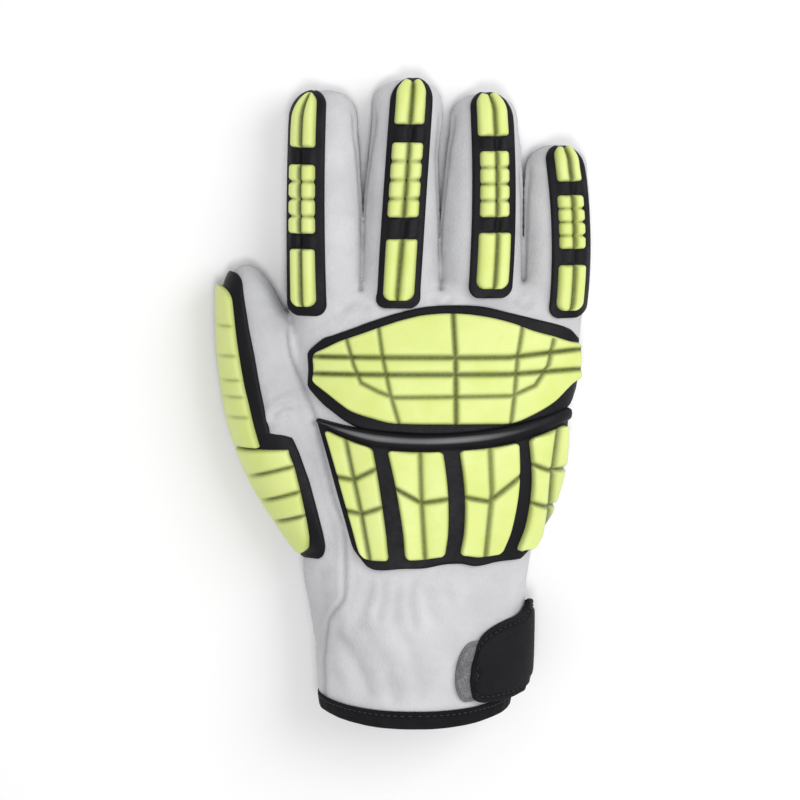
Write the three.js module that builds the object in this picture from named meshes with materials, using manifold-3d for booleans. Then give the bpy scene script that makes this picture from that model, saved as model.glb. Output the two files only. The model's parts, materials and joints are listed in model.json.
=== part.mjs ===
// Right-hand impact work glove, lying palm down: fingers towards +Y, thumb towards -X, back of the hand up.
// Every leather form is a stack of closed sections, each in a plane of constant y. Sizes are in millimetres.
import * as THREE from 'three';
import { mergeVertices } from 'three/addons/utils/BufferGeometryUtils.js';
import Module from 'manifold-3d';

const wasm = await Module();
wasm.setup();

// Leather
const WALL = 1.5;              // thickness of the leather
const SEAM = 0.3;              // clearance between neighbouring pieces
const REST = 1.7;              // height of the flattened underside of the palm, above the patch below it
const HEM_RISE = 5;            // how far the hem lies higher at the two sides than over the back
const HEM_FADE = 28;           // length over which that rise dies out
const CUFF_RUN_OUT = 12;       // how far the hollow runs out past the hem

// Guards, as heights above the leather
const BASE_LOW = 0.9;
const BASE_HIGH = 1.9;
const BEAD_HIGH = 2.7;
const BLOCK_LOW = 2.5;
const BLOCK_HIGH = 4.7;
const GROOVE = 1.3;            // depth of the grooves in the blocks
const GROOVE_HALF = 0.8;       // half the width of a groove
const GUARD_MIDDLE = 2.6;      // height at which the outlines of the guards are given

// Sections of the hand and cuff: width from left to right, height from sole to top
const HAND_ROWS = [
  { y: 0, left: -46.8, right: 30.5, top: 46, sole: -1.5 },
  { y: 13, left: -47.9, right: 32.1, top: 45.5, sole: -1.5 },
  { y: 29.3, left: -48.5, right: 33.8, top: 43.5, sole: -1.5 },
  { y: 46.2, left: -51, right: 34.7, top: 40.5, sole: -1.5 },
  { y: 57.5, left: -52.7, right: 36.1, top: 38.5, sole: -1.5 },
  { y: 68.8, left: -52.5, right: 37.8, top: 38, sole: -2 },
  { y: 80, left: -53.6, right: 41.5, top: 38, sole: -2 },
  { y: 94.2, left: -55.8, right: 45.7, top: 37.5, sole: -2.5 },
  { y: 108.3, left: -57.5, right: 49, top: 36.5, sole: -2.5 },
  { y: 125.2, left: -58.7, right: 52.2, top: 35, sole: -2.5 },
  { y: 142.1, left: -59.2, right: 55.3, top: 33.5, sole: -2 },
  { y: 159, left: -60.3, right: 57.2, top: 31, sole: -1 },
  { y: 170.3, left: -61.2, right: 58.9, top: 27, sole: 0 },
  { y: 176, left: -60.3, right: 58, top: 22.5, sole: 2 },
];

// Sections of the thumb
const THUMB_ROWS = [
  { y: 60.3, left: -47.9, right: -32.1, top: 26, sole: 3 },
  { y: 71.6, left: -56.5, right: -28.8, top: 31, sole: 0 },
  { y: 88.5, left: -66.5, right: -27.6, top: 32, sole: -1.5 },
  { y: 105.5, left: -75, right: -36.1, top: 31, sole: -1.5 },
  { y: 122.4, left: -81.5, right: -44.6, top: 30, sole: -1.5 },
  { y: 136.5, left: -85, right: -51.9, top: 28.5, sole: -1 },
  { y: 147.8, left: -86.8, right: -58.9, top: 27, sole: 0 },
  { y: 159, left: -87.8, right: -62.2, top: 25.5, sole: 0 },
  { y: 170.3, left: -88.2, right: -65, top: 24, sole: 0 },
];

// The four fingers: sections from root to tip, the tip's place and the length of its dome, and the guard on top
const FINGERS = [
  {
    name: 'index',
    rows: [
      { y: 155, left: -57.5, right: -34, top: 23, sole: 4 },
      { y: 173.1, left: -60.3, right: -31.9, top: 27, sole: 1 },
      { y: 195.7, left: -60.6, right: -31.6, top: 25.5, sole: 1.2 },
      { y: 229.6, left: -59.5, right: -32.1, top: 23, sole: -1.5 },
      { y: 240.8, left: -59.5, right: -33, top: 21.5, sole: -1.5 },
    ],
    tip: 253.8,
    dome: 13,
    guard: { foot: 164.4, top: 252.8, leftFoot: -61.2, leftTop: -60.3, rightFoot: -45.6, rightTop: -46.2 },
    split: [0.035, 0.3, 0.372, 0.674, 0.747, 0.965],
  },
  {
    name: 'middle',
    rows: [
      { y: 155, left: -28.5, right: -2.5, top: 23, sole: 4 },
      { y: 173.1, left: -30.7, right: 0, top: 27.5, sole: 1 },
      { y: 195.7, left: -30.5, right: -0.3, top: 26.5, sole: 1.2 },
      { y: 229.6, left: -28.8, right: -0.6, top: 23.5, sole: -1.5 },
      { y: 246.5, left: -27.4, right: 1.4, top: 21.5, sole: -1.5 },
    ],
    tip: 258,
    dome: 10.5,
    guard: { foot: 169.6, top: 257.2, leftFoot: -25.7, leftTop: -20, rightFoot: -7.9, rightTop: -1.2 },
    split: [0.03, 0.3, 0.394, 0.725, 0.8, 0.975],
  },
  {
    name: 'ring',
    rows: [
      { y: 155, left: 3.5, right: 31.5, top: 23, sole: 4 },
      { y: 173.1, left: 1.4, right: 33.6, top: 27, sole: 1 },
      { y: 195.7, left: 1.7, right: 33.8, top: 26, sole: 1.2 },
      { y: 229.6, left: 4.5, right: 32.4, top: 23, sole: -1.5 },
      { y: 240.8, left: 5.1, right: 31.3, top: 21.5, sole: -1.5 },
    ],
    tip: 252.1,
    dome: 11,
    guard: { foot: 171.8, top: 251.2, leftFoot: 11, leftTop: 12.7, rightFoot: 29.6, rightTop: 30.5 },
    split: [0.04, 0.32, 0.4, 0.72, 0.79, 0.965],
  },
  {
    name: 'little',
    rows: [
      { y: 155, left: 37, right: 56, top: 22, sole: 4 },
      { y: 173.1, left: 35, right: 59.5, top: 24.5, sole: 1 },
      { y: 195.7, left: 35, right: 60.9, top: 23, sole: 1 },
      { y: 212.6, left: 35, right: 60.9, top: 21.5, sole: -0.5 },
      { y: 224, left: 35.5, right: 59.2, top: 20.5, sole: -1.5 },
    ],
    tip: 236.3,
    dome: 12,
    guard: { foot: 164.5, top: 230.5, leftFoot: 43.3, leftTop: 43.5, rightFoot: 59.5, rightTop: 60.3 },
    split: [0.055, 0.325, 0.41, 0.735, 0.8, 0.97],
  },
];

// Guard over the knuckles: outlines of the base and the plate, far and near edge at each place across
const KNUCKLE_BASE = [
  { x: -53.6, far: 150, near: 138.7 },
  { x: -47.4, far: 154.8, near: 133.1 },
  { x: -39.5, far: 157.6, near: 128.6 },
  { x: -29.9, far: 161, near: 123.7 },
  { x: -18, far: 165, near: 119.4 },
  { x: -6.2, far: 167.6, near: 119.4 },
  { x: 5.6, far: 168.2, near: 119.4 },
  { x: 17.5, far: 167.6, near: 119.4 },
  { x: 29.3, far: 165, near: 120.6 },
  { x: 41.2, far: 161.9, near: 127.4 },
  { x: 49.6, far: 159, near: 133.2 },
  { x: 56.6, far: 154.5, near: 139.6 },
];
const KNUCKLE_PLATE = [
  { x: -51, far: 149.8, near: 139 },
  { x: -40.6, far: 154.4, near: 134.5 },
  { x: -31, far: 157.7, near: 129.7 },
  { x: -23.1, far: 160.4, near: 124.8 },
  { x: -15.8, far: 162.6, near: 121.9 },
  { x: -6.2, far: 164.6, near: 121.7 },
  { x: 6.2, far: 165.2, near: 121.7 },
  { x: 18.6, far: 164, near: 121.7 },
  { x: 29.3, far: 161.6, near: 122 },
  { x: 37.2, far: 158.8, near: 125 },
  { x: 45.1, far: 156.2, near: 129.6 },
  { x: 55.6, far: 152.4, near: 139.2 },
];
const KNUCKLE_CROSS = [-23.1, 6.2, 29.3];      // grooves that run from finger side to wrist side
const KNUCKLE_LONG = [141.6, 148.3];           // grooves that run across the hand

// Guard over the back of the hand: its four edges, and the slots for the four panels as shares of its width
const BACK_FAR = { left: 123.6, middle: 117.6, right: 127.6 };
const BACK_NEAR = { left: 66.5, middle: 63.7, right: 69.9 };
const BACK_SIDES = [
  { v: 0, left: -49.6, right: 53 },
  { v: 0.3, left: -44.6, right: 51.9 },
  { v: 0.5, left: -41.6, right: 49.6 },
  { v: 0.75, left: -37.5, right: 45.4 },
  { v: 0.9, left: -33.6, right: 40.6 },
  { v: 1, left: -28.8, right: 34.4 },
];
const BEAD_SHARE = 0.11;                       // the thick bar along the far edge
const PANELS = [
  { farLeft: 0.03, farRight: 0.232, nearLeft: 0.03, nearRight: 0.135 },
  { farLeft: 0.285, farRight: 0.513, nearLeft: 0.222, nearRight: 0.504 },
  { farLeft: 0.568, farRight: 0.783, nearLeft: 0.59, nearRight: 0.86 },
  { farLeft: 0.83, farRight: 0.975, nearLeft: 0.923, nearRight: 0.975 },
];
const PANEL_FAR = 0.14;
const PANEL_NEAR = 0.93;
const PANEL_CROSS = [0.4, 0.66];               // each panel's cross grooves, as shares of its length

// Guard along the thumb: inner edge of the base and of the blocks at each place, the outer edge wraps the side
const THUMB_BASE = [
  { y: 70.5, inner: -48.5 },
  { y: 76, inner: -46.6 },
  { y: 86, inner: -49.4 },
  { y: 97.6, inner: -52.3 },
  { y: 109.7, inner: -56.5 },
  { y: 115.2, inner: -59.5 },
  { y: 116.2, inner: -68.6 },
  { y: 125, inner: -70.5 },
  { y: 136, inner: -72.8 },
  { y: 148, inner: -74.8 },
  { y: 160, inner: -77.3 },
  { y: 172, inner: -79 },
  { y: 178, inner: -80.5 },
];
const THUMB_BLOCKS = [
  {
    name: 'thumb_heel_block',
    rows: [
      { y: 72.5, inner: -51 },
      { y: 81, inner: -52.3 },
      { y: 89.5, inner: -54.2 },
      { y: 97, inner: -56 },
      { y: 104.5, inner: -58.5 },
      { y: 110.2, inner: -60.5 },
    ],
  },
  {
    name: 'thumb_side_block',
    rows: [
      { y: 114.5, inner: -72.8 },
      { y: 121, inner: -74.4 },
      { y: 130, inner: -76.4 },
      { y: 139, inner: -78.2 },
      { y: 148, inner: -80 },
      { y: 157, inner: -81.6 },
      { y: 166, inner: -82.5 },
      { y: 174, inner: -83 },
    ],
  },
];
const THUMB_OUTER_ANGLE = 3.5;                 // the guard ends this far round the thumb, just under its side
const THUMB_BLOCK_ANGLE = 3.3;

// Palm patch: near and far edge at each place across
const PATCH_ROWS = [
  { x: -60, near: 113, far: 126 },
  { x: -50, near: 104, far: 134 },
  { x: -43.5, near: 101, far: 155 },
  { x: -29.3, near: 96.4, far: 161.8 },
  { x: -6.8, near: 92.5, far: 162 },
  { x: 15.8, near: 90.2, far: 162 },
  { x: 32.7, near: 87.4, far: 159 },
  { x: 41, near: 90, far: 156 },
  { x: 47, near: 106, far: 152 },
];
const PATCH_THICK = 1.35;

// Hem binding and wrist closure
const BINDING_THICK = 1.2;
const BINDING_HEIGHT = 6.5;
const BINDING_LIP = 1.1;
const LOOP_PATCH = { left: 6.8, endAngle: 0.75, near: 13, far: 37.5, low: 0.35, high: 1.65 };
const TAB_LOW = 2;
const TAB_HIGH = 4;
const TAB_ROWS = [
  { x: 11, near: 16.5, far: 30.5 },
  { x: 15.8, near: 10.8, far: 38 },
  { x: 22.6, near: 9.6, far: 42.3 },
  { x: 30, near: 10.4, far: 45.5 },
  { x: 35, near: 12.4, far: 51 },
];
const TAB_WRAP = [
  { angle: 0.2, near: 14, far: 51 },
  { angle: -0.05, near: 15, far: 49.5 },
  { angle: -0.35, near: 16, far: 46 },
  { angle: -0.62, near: 17, far: 44 },
];

// Side seams: height of the line between back and palm leather, and the strips let in between the fingers
const SIDE_SEAM = [
  [-20, 21], [50, 18.5], [90, 15], [140, 14], [170, 11.5], [280, 9.5],
];
const STRIP_LOW = 5.5;
const STRIP_HIGH = 15.5;
const STRIP_START = 170;
const STRIP_END_CUT = 9;                       // the strips stop this far short of the shorter fingertip
const THUMB_SEAM = [
  [-61.6, 190], [-61.3, 152], [-57, 146], [-49, 120], [-43, 92], [-36, 71], [-40, 60], [-58, 56], [-110, 62], [-110, 190],
];

const SECTION_POWER = 2.3;                     // 2 is an ellipse, more is squarer
const DOME_POWER = 2.3;
const MID_SHARE = 0.44;                        // a section is widest at this share of its height

const lerp = THREE.MathUtils.lerp;
const power = (value, exponent) => Math.sign(value) * Math.abs(value) ** exponent;

/** A closed tube of leather whose sections lie at constant y and change smoothly from row to row. */
class Tube {
  constructor({ rows, tip, dome, rest, hem = 0 }) {
    this.start = rows[0].y;
    this.end = rows.at(-1).y;
    this.tip = tip ?? this.end;
    this.dome = dome ?? 0;
    this.rest = rest;
    this.hem = hem;
    const columns = rows.flatMap((row) => [row.left, row.right, row.top, row.sole]);
    this.track = new THREE.CubicInterpolant(rows.map((row) => row.y), columns, 4, new Float64Array(4));
  }

  /** Half-width, centre and heights of the section at y, drawn in by inset. */
  section(y, inset = 0) {
    const at = THREE.MathUtils.clamp(y, this.start, this.end);
    const [left, right, top, sole] = this.track.evaluate(at);
    const middle = lerp(sole, top, MID_SHARE);
    const along = this.dome ? Math.max(0, (y + inset - this.tip + this.dome) / this.dome) : 0;
    const swell = (1 - Math.min(along, 1) ** DOME_POWER) ** (1 / DOME_POWER);
    return {
      centre: (left + right) / 2,
      half: ((right - left) / 2 - inset) * swell,
      middle,
      rise: (top - middle - inset) * swell,
      drop: (middle - sole - inset) * swell,
    };
  }

  /** Point of the surface at y and angle: 0 is the right side, a quarter turn the top. */
  point(y, angle, inset = 0) {
    const s = this.section(y, inset);
    const across = power(Math.cos(angle), 2 / SECTION_POWER);
    const up = power(Math.sin(angle), 2 / SECTION_POWER);
    const z = s.middle + up * (up > 0 ? s.rise : s.drop);
    const fade = Math.max(0, 1 - Math.max(y, 0) / HEM_FADE);
    const shift = this.hem * Math.cos(angle) ** 2 * fade;
    return new THREE.Vector3(s.centre + across * s.half, y + shift, Math.max(z, this.rest + inset));
  }

  /** Point at a height above the surface, along its normal. */
  raised(y, angle, height) {
    const step = 0.02;
    const here = this.point(y, angle);
    const round = this.point(y, angle + step).sub(this.point(y, angle - step));
    const along = this.point(y + step, angle).sub(this.point(y - step, angle));
    const normal = along.cross(round).normalize();
    return here.addScaledVector(normal, height);
  }

  /** Angle at which the surface raised by height lies at x, on the upper half or, with side -1, the lower. */
  angleAt(x, y, height, side = 1) {
    let low = 0.02;
    let high = Math.PI - 0.02;
    for (let i = 0; i < 30; i += 1) {
      const mid = (low + high) / 2;
      if (this.raised(y, side * mid, height).x > x) low = mid;
      else high = mid;
    }
    return side * (low + high) / 2;
  }
}

/** Turns a geometry whose faces point inwards the right way round. */
function facingOut(geometry) {
  const p = geometry.getAttribute('position');
  const index = geometry.getIndex();
  const corner = (i) => new THREE.Vector3().fromBufferAttribute(p, index.getX(i));
  let volume = 0;
  for (let i = 0; i < index.count; i += 3) {
    volume += corner(i).dot(corner(i + 1).cross(corner(i + 2)));
  }
  if (volume < 0) {
    for (let i = 0; i < index.count; i += 3) {
      const first = index.getX(i);
      index.setX(i, index.getX(i + 1));
      index.setX(i + 1, first);
    }
  }
  return geometry;
}

function indexed(points, faces) {
  const geometry = new THREE.BufferGeometry().setFromPoints(points);
  geometry.setIndex(faces);
  return facingOut(geometry);
}

/** Closed solid through rings of points, each with the same count, its ends closed by fans. */
function loft(rings) {
  const count = rings[0].length;
  const points = rings.flat();
  const faces = [];
  for (let i = 0; i + 1 < rings.length; i += 1) {
    for (let j = 0; j < count; j += 1) {
      const a = i * count + j;
      const b = i * count + ((j + 1) % count);
      faces.push(a, b, b + count, a, b + count, a + count);
    }
  }
  for (const [ring, flip] of [[0, true], [rings.length - 1, false]]) {
    const centre = rings[ring].reduce((sum, p) => sum.add(p), new THREE.Vector3()).divideScalar(count);
    points.push(centre);
    for (let j = 0; j < count; j += 1) {
      const a = ring * count + j;
      const b = ring * count + ((j + 1) % count);
      faces.push(points.length - 1, flip ? b : a, flip ? a : b);
    }
  }
  return indexed(points, faces);
}

/** Closed solid between two grids of points of the same shape. */
function slab(low, high) {
  const rows = low.length;
  const columns = low[0].length;
  const points = [...low.flat(), ...high.flat()];
  const at = (i, j) => i * columns + j;
  const top = rows * columns;
  const faces = [];
  const quad = (a, b, c, d) => faces.push(a, b, c, a, c, d);
  for (let i = 0; i + 1 < rows; i += 1) {
    for (let j = 0; j + 1 < columns; j += 1) {
      quad(at(i, j), at(i, j + 1), at(i + 1, j + 1), at(i + 1, j));
      quad(top + at(i, j), top + at(i + 1, j), top + at(i + 1, j + 1), top + at(i, j + 1));
    }
  }
  const rim = [];
  for (let j = 0; j + 1 < columns; j += 1) rim.push(at(0, j));
  for (let i = 0; i + 1 < rows; i += 1) rim.push(at(i, columns - 1));
  for (let j = columns - 1; j > 0; j -= 1) rim.push(at(rows - 1, j));
  for (let i = rows - 1; i > 0; i -= 1) rim.push(at(i, 0));
  rim.forEach((a, k) => {
    const b = rim[(k + 1) % rim.length];
    quad(b, a, top + a, top + b);
  });
  return indexed(points, faces);
}

/** Slab over stations: spot(station, column, height) gives the points, top(station, column) the upper height. */
function pad(stations, columns, spot, low, top) {
  const grid = (height) => stations.map((s) => columns(s).map((c) => spot(s, c, height(s, c))));
  return slab(grid(() => low), grid(top));
}

function toManifold(geometry) {
  const bare = geometry.clone();
  bare.deleteAttribute('normal');
  bare.deleteAttribute('uv');
  const merged = mergeVertices(bare, 1e-4);
  return new wasm.Manifold(new wasm.Mesh({
    numProp: 3,
    vertProperties: new Float32Array(merged.getAttribute('position').array),
    triVerts: new Uint32Array(merged.getIndex().array),
  }));
}

function toGeometry(manifold) {
  const mesh = manifold.getMesh();
  const geometry = new THREE.BufferGeometry();
  geometry.setAttribute('position', new THREE.BufferAttribute(new Float32Array(mesh.vertProperties), 3));
  geometry.setIndex(new THREE.BufferAttribute(new Uint32Array(mesh.triVerts), 1));
  return geometry;
}

/** The largest loose body of a cut solid, without the crumbs that a cut leaves at its edges. */
function mainBody(manifold) {
  const bodies = manifold.decompose();
  return bodies.reduce((best, body) => (body.volume() > best.volume() ? body : best));
}

// Materials
const leather = new THREE.MeshStandardMaterial({ color: 0xd9d9da, roughness: 0.75, metalness: 0 });
const blackRubber = new THREE.MeshStandardMaterial({ color: 0x17181a, roughness: 0.5, metalness: 0 });
const yellowRubber = new THREE.MeshStandardMaterial({ color: 0xd6e84e, roughness: 0.45, metalness: 0 });
const blackFabric = new THREE.MeshStandardMaterial({ color: 0x1b1b1d, roughness: 0.9, metalness: 0 });
const greyLoop = new THREE.MeshStandardMaterial({ color: 0x9a9c9e, roughness: 1, metalness: 0 });

const glove = new THREE.Group();
function add(name, geometry, material) {
  const mesh = new THREE.Mesh(geometry, material);
  mesh.name = name;
  glove.add(mesh);
}

// Leather forms
const hand = new Tube({ rows: HAND_ROWS, rest: REST, hem: HEM_RISE });
const thumb = new Tube({ rows: THUMB_ROWS, tip: 183.3, dome: 13, rest: REST });
const fingers = FINGERS.map((f) => new Tube({ rows: f.rows, tip: f.tip, dome: f.dome, rest: 0 }));

const HAND_SIDES = 24;
const FINGER_SIDES = 10;
const DOME_STEPS = [0, 0.5, 0.8, 0.95];
const INNER_DOME_STEPS = [0, 0.6, 0.92];

function ring(tube, y, sides, inset) {
  return Array.from({ length: sides }, (_, k) => tube.point(y, (k / sides) * 2 * Math.PI, inset));
}

function handSolid(inset) {
  const ys = HAND_ROWS.map((row) => row.y);
  if (inset) {
    ys[0] = -CUFF_RUN_OUT;
    ys[ys.length - 1] -= inset;
  }
  return toManifold(loft(ys.map((y) => ring(hand, y, HAND_SIDES, inset))));
}

function fingerSolid(tube, rows, inset) {
  const straight = rows.map((row) => row.y).filter((y) => y < tube.tip - tube.dome - 3);
  const steps = inset ? INNER_DOME_STEPS : DOME_STEPS;
  const domed = steps.map((t) => tube.tip - inset - tube.dome * (1 - t));
  return toManifold(loft([...straight, ...domed].map((y) => ring(tube, y, FINGER_SIDES, inset))));
}

function leatherForm(inset) {
  let solid = handSolid(inset).add(fingerSolid(thumb, THUMB_ROWS, inset));
  fingers.forEach((tube, i) => {
    solid = solid.add(fingerSolid(tube, FINGERS[i].rows, inset));
  });
  return solid;
}

/** Upright prism over an outline in plan. */
function prism(outline, low, high) {
  const shape = new THREE.Shape(outline.map(([x, y]) => new THREE.Vector2(x, y)));
  const geometry = new THREE.ExtrudeGeometry(shape, { depth: high - low, bevelEnabled: false });
  return toManifold(geometry.translate(0, 0, low));
}

/** Everything on one side of the side seam, which runs across the whole glove. */
function besideSeam(direction) {
  const far = direction * 100;
  const line = SIDE_SEAM.map(([y, z]) => new THREE.Vector2(y, z + direction * SEAM / 2));
  line.push(new THREE.Vector2(SIDE_SEAM.at(-1)[0], far), new THREE.Vector2(SIDE_SEAM[0][0], far));
  const geometry = new THREE.ExtrudeGeometry(new THREE.Shape(line), { depth: 300, bevelEnabled: false });
  geometry.applyMatrix4(new THREE.Matrix4().makeBasis(
    new THREE.Vector3(0, 1, 0), new THREE.Vector3(0, 0, 1), new THREE.Vector3(1, 0, 0),
  ));
  return toManifold(geometry.translate(-150, 0, 0));
}

/** Outline in plan of the strip between two fingers, from middle line to middle line. */
function stripOutline(i, grow) {
  const [one, other] = [fingers[i], fingers[i + 1]];
  const far = Math.min(one.tip, other.tip) - STRIP_END_CUT + grow;
  const near = STRIP_START - grow;
  const middle = (tube, y) => tube.section(y).centre;
  return [
    [middle(one, near) - grow, near], [middle(other, near) + grow, near],
    [middle(other, far) + grow, far], [middle(one, far) - grow, far],
  ];
}

const shell = leatherForm(0).subtract(leatherForm(WALL));
const thumbPart = prism(THUMB_SEAM, -5, 80);
const thumbGap = prism(THUMB_SEAM.map(([x, y]) => [x + SEAM, y]), -5, 80);
let rest = shell.subtract(thumbPart.add(thumbGap));
const thumbShell = mainBody(shell.intersect(thumbPart));
add('thumb_back', toGeometry(mainBody(thumbShell.intersect(besideSeam(1)))), leather);
add('thumb_front', toGeometry(mainBody(thumbShell.intersect(besideSeam(-1)))), leather);

const STRIP_NAMES = ['fourchette_index_middle', 'fourchette_middle_ring', 'fourchette_ring_little'];
STRIP_NAMES.forEach((name, i) => {
  const strip = prism(stripOutline(i, 0), STRIP_LOW, STRIP_HIGH);
  const cut = prism(stripOutline(i, SEAM), STRIP_LOW - SEAM, STRIP_HIGH + SEAM);
  add(name, toGeometry(mainBody(rest.intersect(strip))), leather);
  rest = rest.subtract(cut);
});
add('back_leather', toGeometry(mainBody(rest.intersect(besideSeam(1)))), leather);
add('palm_leather', toGeometry(mainBody(rest.intersect(besideSeam(-1)))), leather);

// Finger guards
function bodyTop(x, y) {
  if (y > hand.end) return -Infinity;
  const s = hand.section(y);
  const across = Math.min(1, Math.abs((x - s.centre) / s.half));
  return s.middle + s.rise * (1 - across ** SECTION_POWER) ** (1 / SECTION_POWER);
}

/** Point over a finger between two edges, lifted where the back of the hand lies higher than the finger. */
function overFinger(tube, edges, share, y, height) {
  const [left, right] = [edges.left, edges.right].map((x) => tube.angleAt(x, y, GUARD_MIDDLE));
  const angle = lerp(left, right, share);
  const bare = tube.point(y, angle);
  const point = tube.raised(y, angle, height);
  point.z += Math.max(0, bodyTop(bare.x, bare.y) - bare.z);
  return point;
}

function guardEdges(guard, share, inset) {
  return {
    left: lerp(guard.leftFoot, guard.leftTop, share) + inset,
    right: lerp(guard.rightFoot, guard.rightTop, share) - inset,
  };
}

const FOOT_CORNER = [[0, 3.4], [0.02, 1.2], [0.06, 0]];       // share of a guard's length, and its inset there
const TIP_CORNER = [[0.945, 0.3], [0.978, 1.9], [1, 5]];
const BLOCK_INSET = 2.2;

FINGERS.forEach((finger, i) => {
  const tube = fingers[i];
  const { guard } = finger;
  const spot = (s, c, height) => {
    const edges = guardEdges(guard, s.share, s.inset);
    return overFinger(tube, edges, c, lerp(guard.foot, guard.top, s.share), height);
  };
  const quarters = () => [0, 0.25, 0.5, 0.75, 1];
  const middleShares = [0.2, 0.36, 0.52, 0.68, 0.8, 0.89];
  const stations = [
    ...FOOT_CORNER.map(([share, inset]) => ({ share, inset })),
    ...middleShares.map((share) => ({ share, inset: 0 })),
    ...TIP_CORNER.map(([share, inset]) => ({ share, inset })),
  ];
  add(`${finger.name}_base`, pad(stations, quarters, spot, BASE_LOW, () => BASE_HIGH), blackRubber);

  const halves = () => [0, 0.4, 0.5, 0.6, 1];
  const crown = [0.6, 0, GROOVE, 0, 0.6];
  const block = (from, to, waves) => {
    const steps = waves ? waves * 2 : 4;
    const shares = Array.from({ length: steps + 1 }, (_, k) => k / steps);
    const rows = shares.map((t, k) => ({
      share: lerp(from, to, t),
      inset: BLOCK_INSET + (t === 0 || t === 1 ? 0.4 : 0),
      dip: waves && k % 2 === 0 ? 0.9 : (t === 0 || t === 1 ? 0.5 : 0),
    }));
    return pad(rows, halves, spot, BLOCK_LOW, (s, c) => BLOCK_HIGH - s.dip - crown[halves().indexOf(c)]);
  };
  const [footFrom, footTo, midFrom, midTo, tipFrom, tipTo] = finger.split;
  add(`${finger.name}_foot_block`, block(footFrom, footTo, 0), yellowRubber);
  add(`${finger.name}_middle_block`, block(midFrom, midTo, 4), yellowRubber);
  add(`${finger.name}_tip_block`, block(tipFrom, tipTo, 0), yellowRubber);
});

// Guard over the knuckles
function overHand(x, y, height) {
  return hand.raised(y, hand.angleAt(x, y, GUARD_MIDDLE), height);
}

/** Places from end to end of an outline, closer together where the hand curves down at its sides. */
function outlineStations(outline, steps, extra) {
  const [first, last] = [outline[0].x, outline.at(-1).x];
  const even = Array.from({ length: steps + 1 }, (_, k) => (1 - Math.cos((Math.PI * k) / steps)) / 2)
    .map((t) => lerp(first, last, t))
    .filter((x) => extra.every((g) => Math.abs(g - x) > GROOVE_HALF));
  const edge = (column, x) => {
    const k = Math.max(1, outline.findIndex((row) => row.x >= x - 1e-9));
    const [from, to] = [outline[k - 1], outline[k]];
    return lerp(from[column], to[column], (x - from.x) / (to.x - from.x));
  };
  return [...even, ...extra].sort((p, q) => p - q).map((x) => ({ x, near: edge('near', x), far: edge('far', x) }));
}

const acrossBase = (s) => [0, 0.25, 0.5, 0.75, 1].map((t) => lerp(s.near, s.far, t));
add('knuckle_base', pad(outlineStations(KNUCKLE_BASE, 13, []), acrossBase, (s, y, h) => overHand(s.x, y, h),
  BASE_LOW, () => BASE_HIGH), blackRubber);

const plateGrooves = KNUCKLE_CROSS.flatMap((x) => [-GROOVE_HALF, 0, GROOVE_HALF].map((d) => x + d));
const plateStations = outlineStations(KNUCKLE_PLATE, 11, plateGrooves);
const plateColumns = (s) => [
  s.near, ...KNUCKLE_LONG.flatMap((y) => [y - GROOVE_HALF, y, y + GROOVE_HALF]), s.far,
];
const plateTop = (s, y) => {
  const grooved = KNUCKLE_CROSS.includes(s.x) || KNUCKLE_LONG.includes(y);
  const atEdge = y === s.near || y === s.far || s === plateStations[0] || s === plateStations.at(-1);
  return BLOCK_HIGH - (grooved ? GROOVE : 0) - (atEdge ? 0.8 : 0);
};
add('knuckle_plate', pad(plateStations, plateColumns, (s, y, h) => overHand(s.x, y, h), BLOCK_LOW, plateTop),
  yellowRubber);

// Guard over the back of the hand
function throughThree({ left, middle, right }, u) {
  return left * (1 - u) * (1 - 2 * u) + middle * 4 * u * (1 - u) + right * u * (2 * u - 1);
}

function overBack(u, v, height) {
  const k = Math.max(1, BACK_SIDES.findIndex((row) => row.v >= v));
  const [a, b] = [BACK_SIDES[k - 1], BACK_SIDES[k]];
  const t = (v - a.v) / (b.v - a.v);
  const x = lerp(lerp(a.left, b.left, t), lerp(a.right, b.right, t), u);
  return overHand(x, lerp(throughThree(BACK_FAR, u), throughThree(BACK_NEAR, u), v), height);
}

const backShares = [0, BEAD_SHARE, 0.13, 0.28, 0.46, 0.64, 0.82, 1];
const backColumns = () => Array.from({ length: 13 }, (_, k) => (1 - Math.cos((Math.PI * k) / 12)) / 2);
add('hand_base', pad(backShares, backColumns, (v, u, h) => overBack(u, v, h), BASE_LOW,
  (v) => (v <= BEAD_SHARE ? BEAD_HIGH : BASE_HIGH)), blackRubber);

PANELS.forEach((panel, i) => {
  const shares = [0, ...PANEL_CROSS.flatMap((t) => [t - 0.02, t, t + 0.02]), 1];
  const columns = () => [0, 0.42, 0.5, 0.58, 0.8, 1];
  const spot = (t, c, h) => {
    const u = lerp(lerp(panel.farLeft, panel.nearLeft, t), lerp(panel.farRight, panel.nearRight, t), c);
    return overBack(u, lerp(PANEL_FAR, PANEL_NEAR, t), h);
  };
  const top = (t, c) => BLOCK_HIGH - (PANEL_CROSS.includes(t) || c === 0.5 ? GROOVE : 0)
    - (t === 0 || t === 1 || c === 0 || c === 1 ? 0.7 : 0);
  add(`hand_panel_${i + 1}`, pad(shares, columns, spot, BLOCK_LOW, top), yellowRubber);
});

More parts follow.
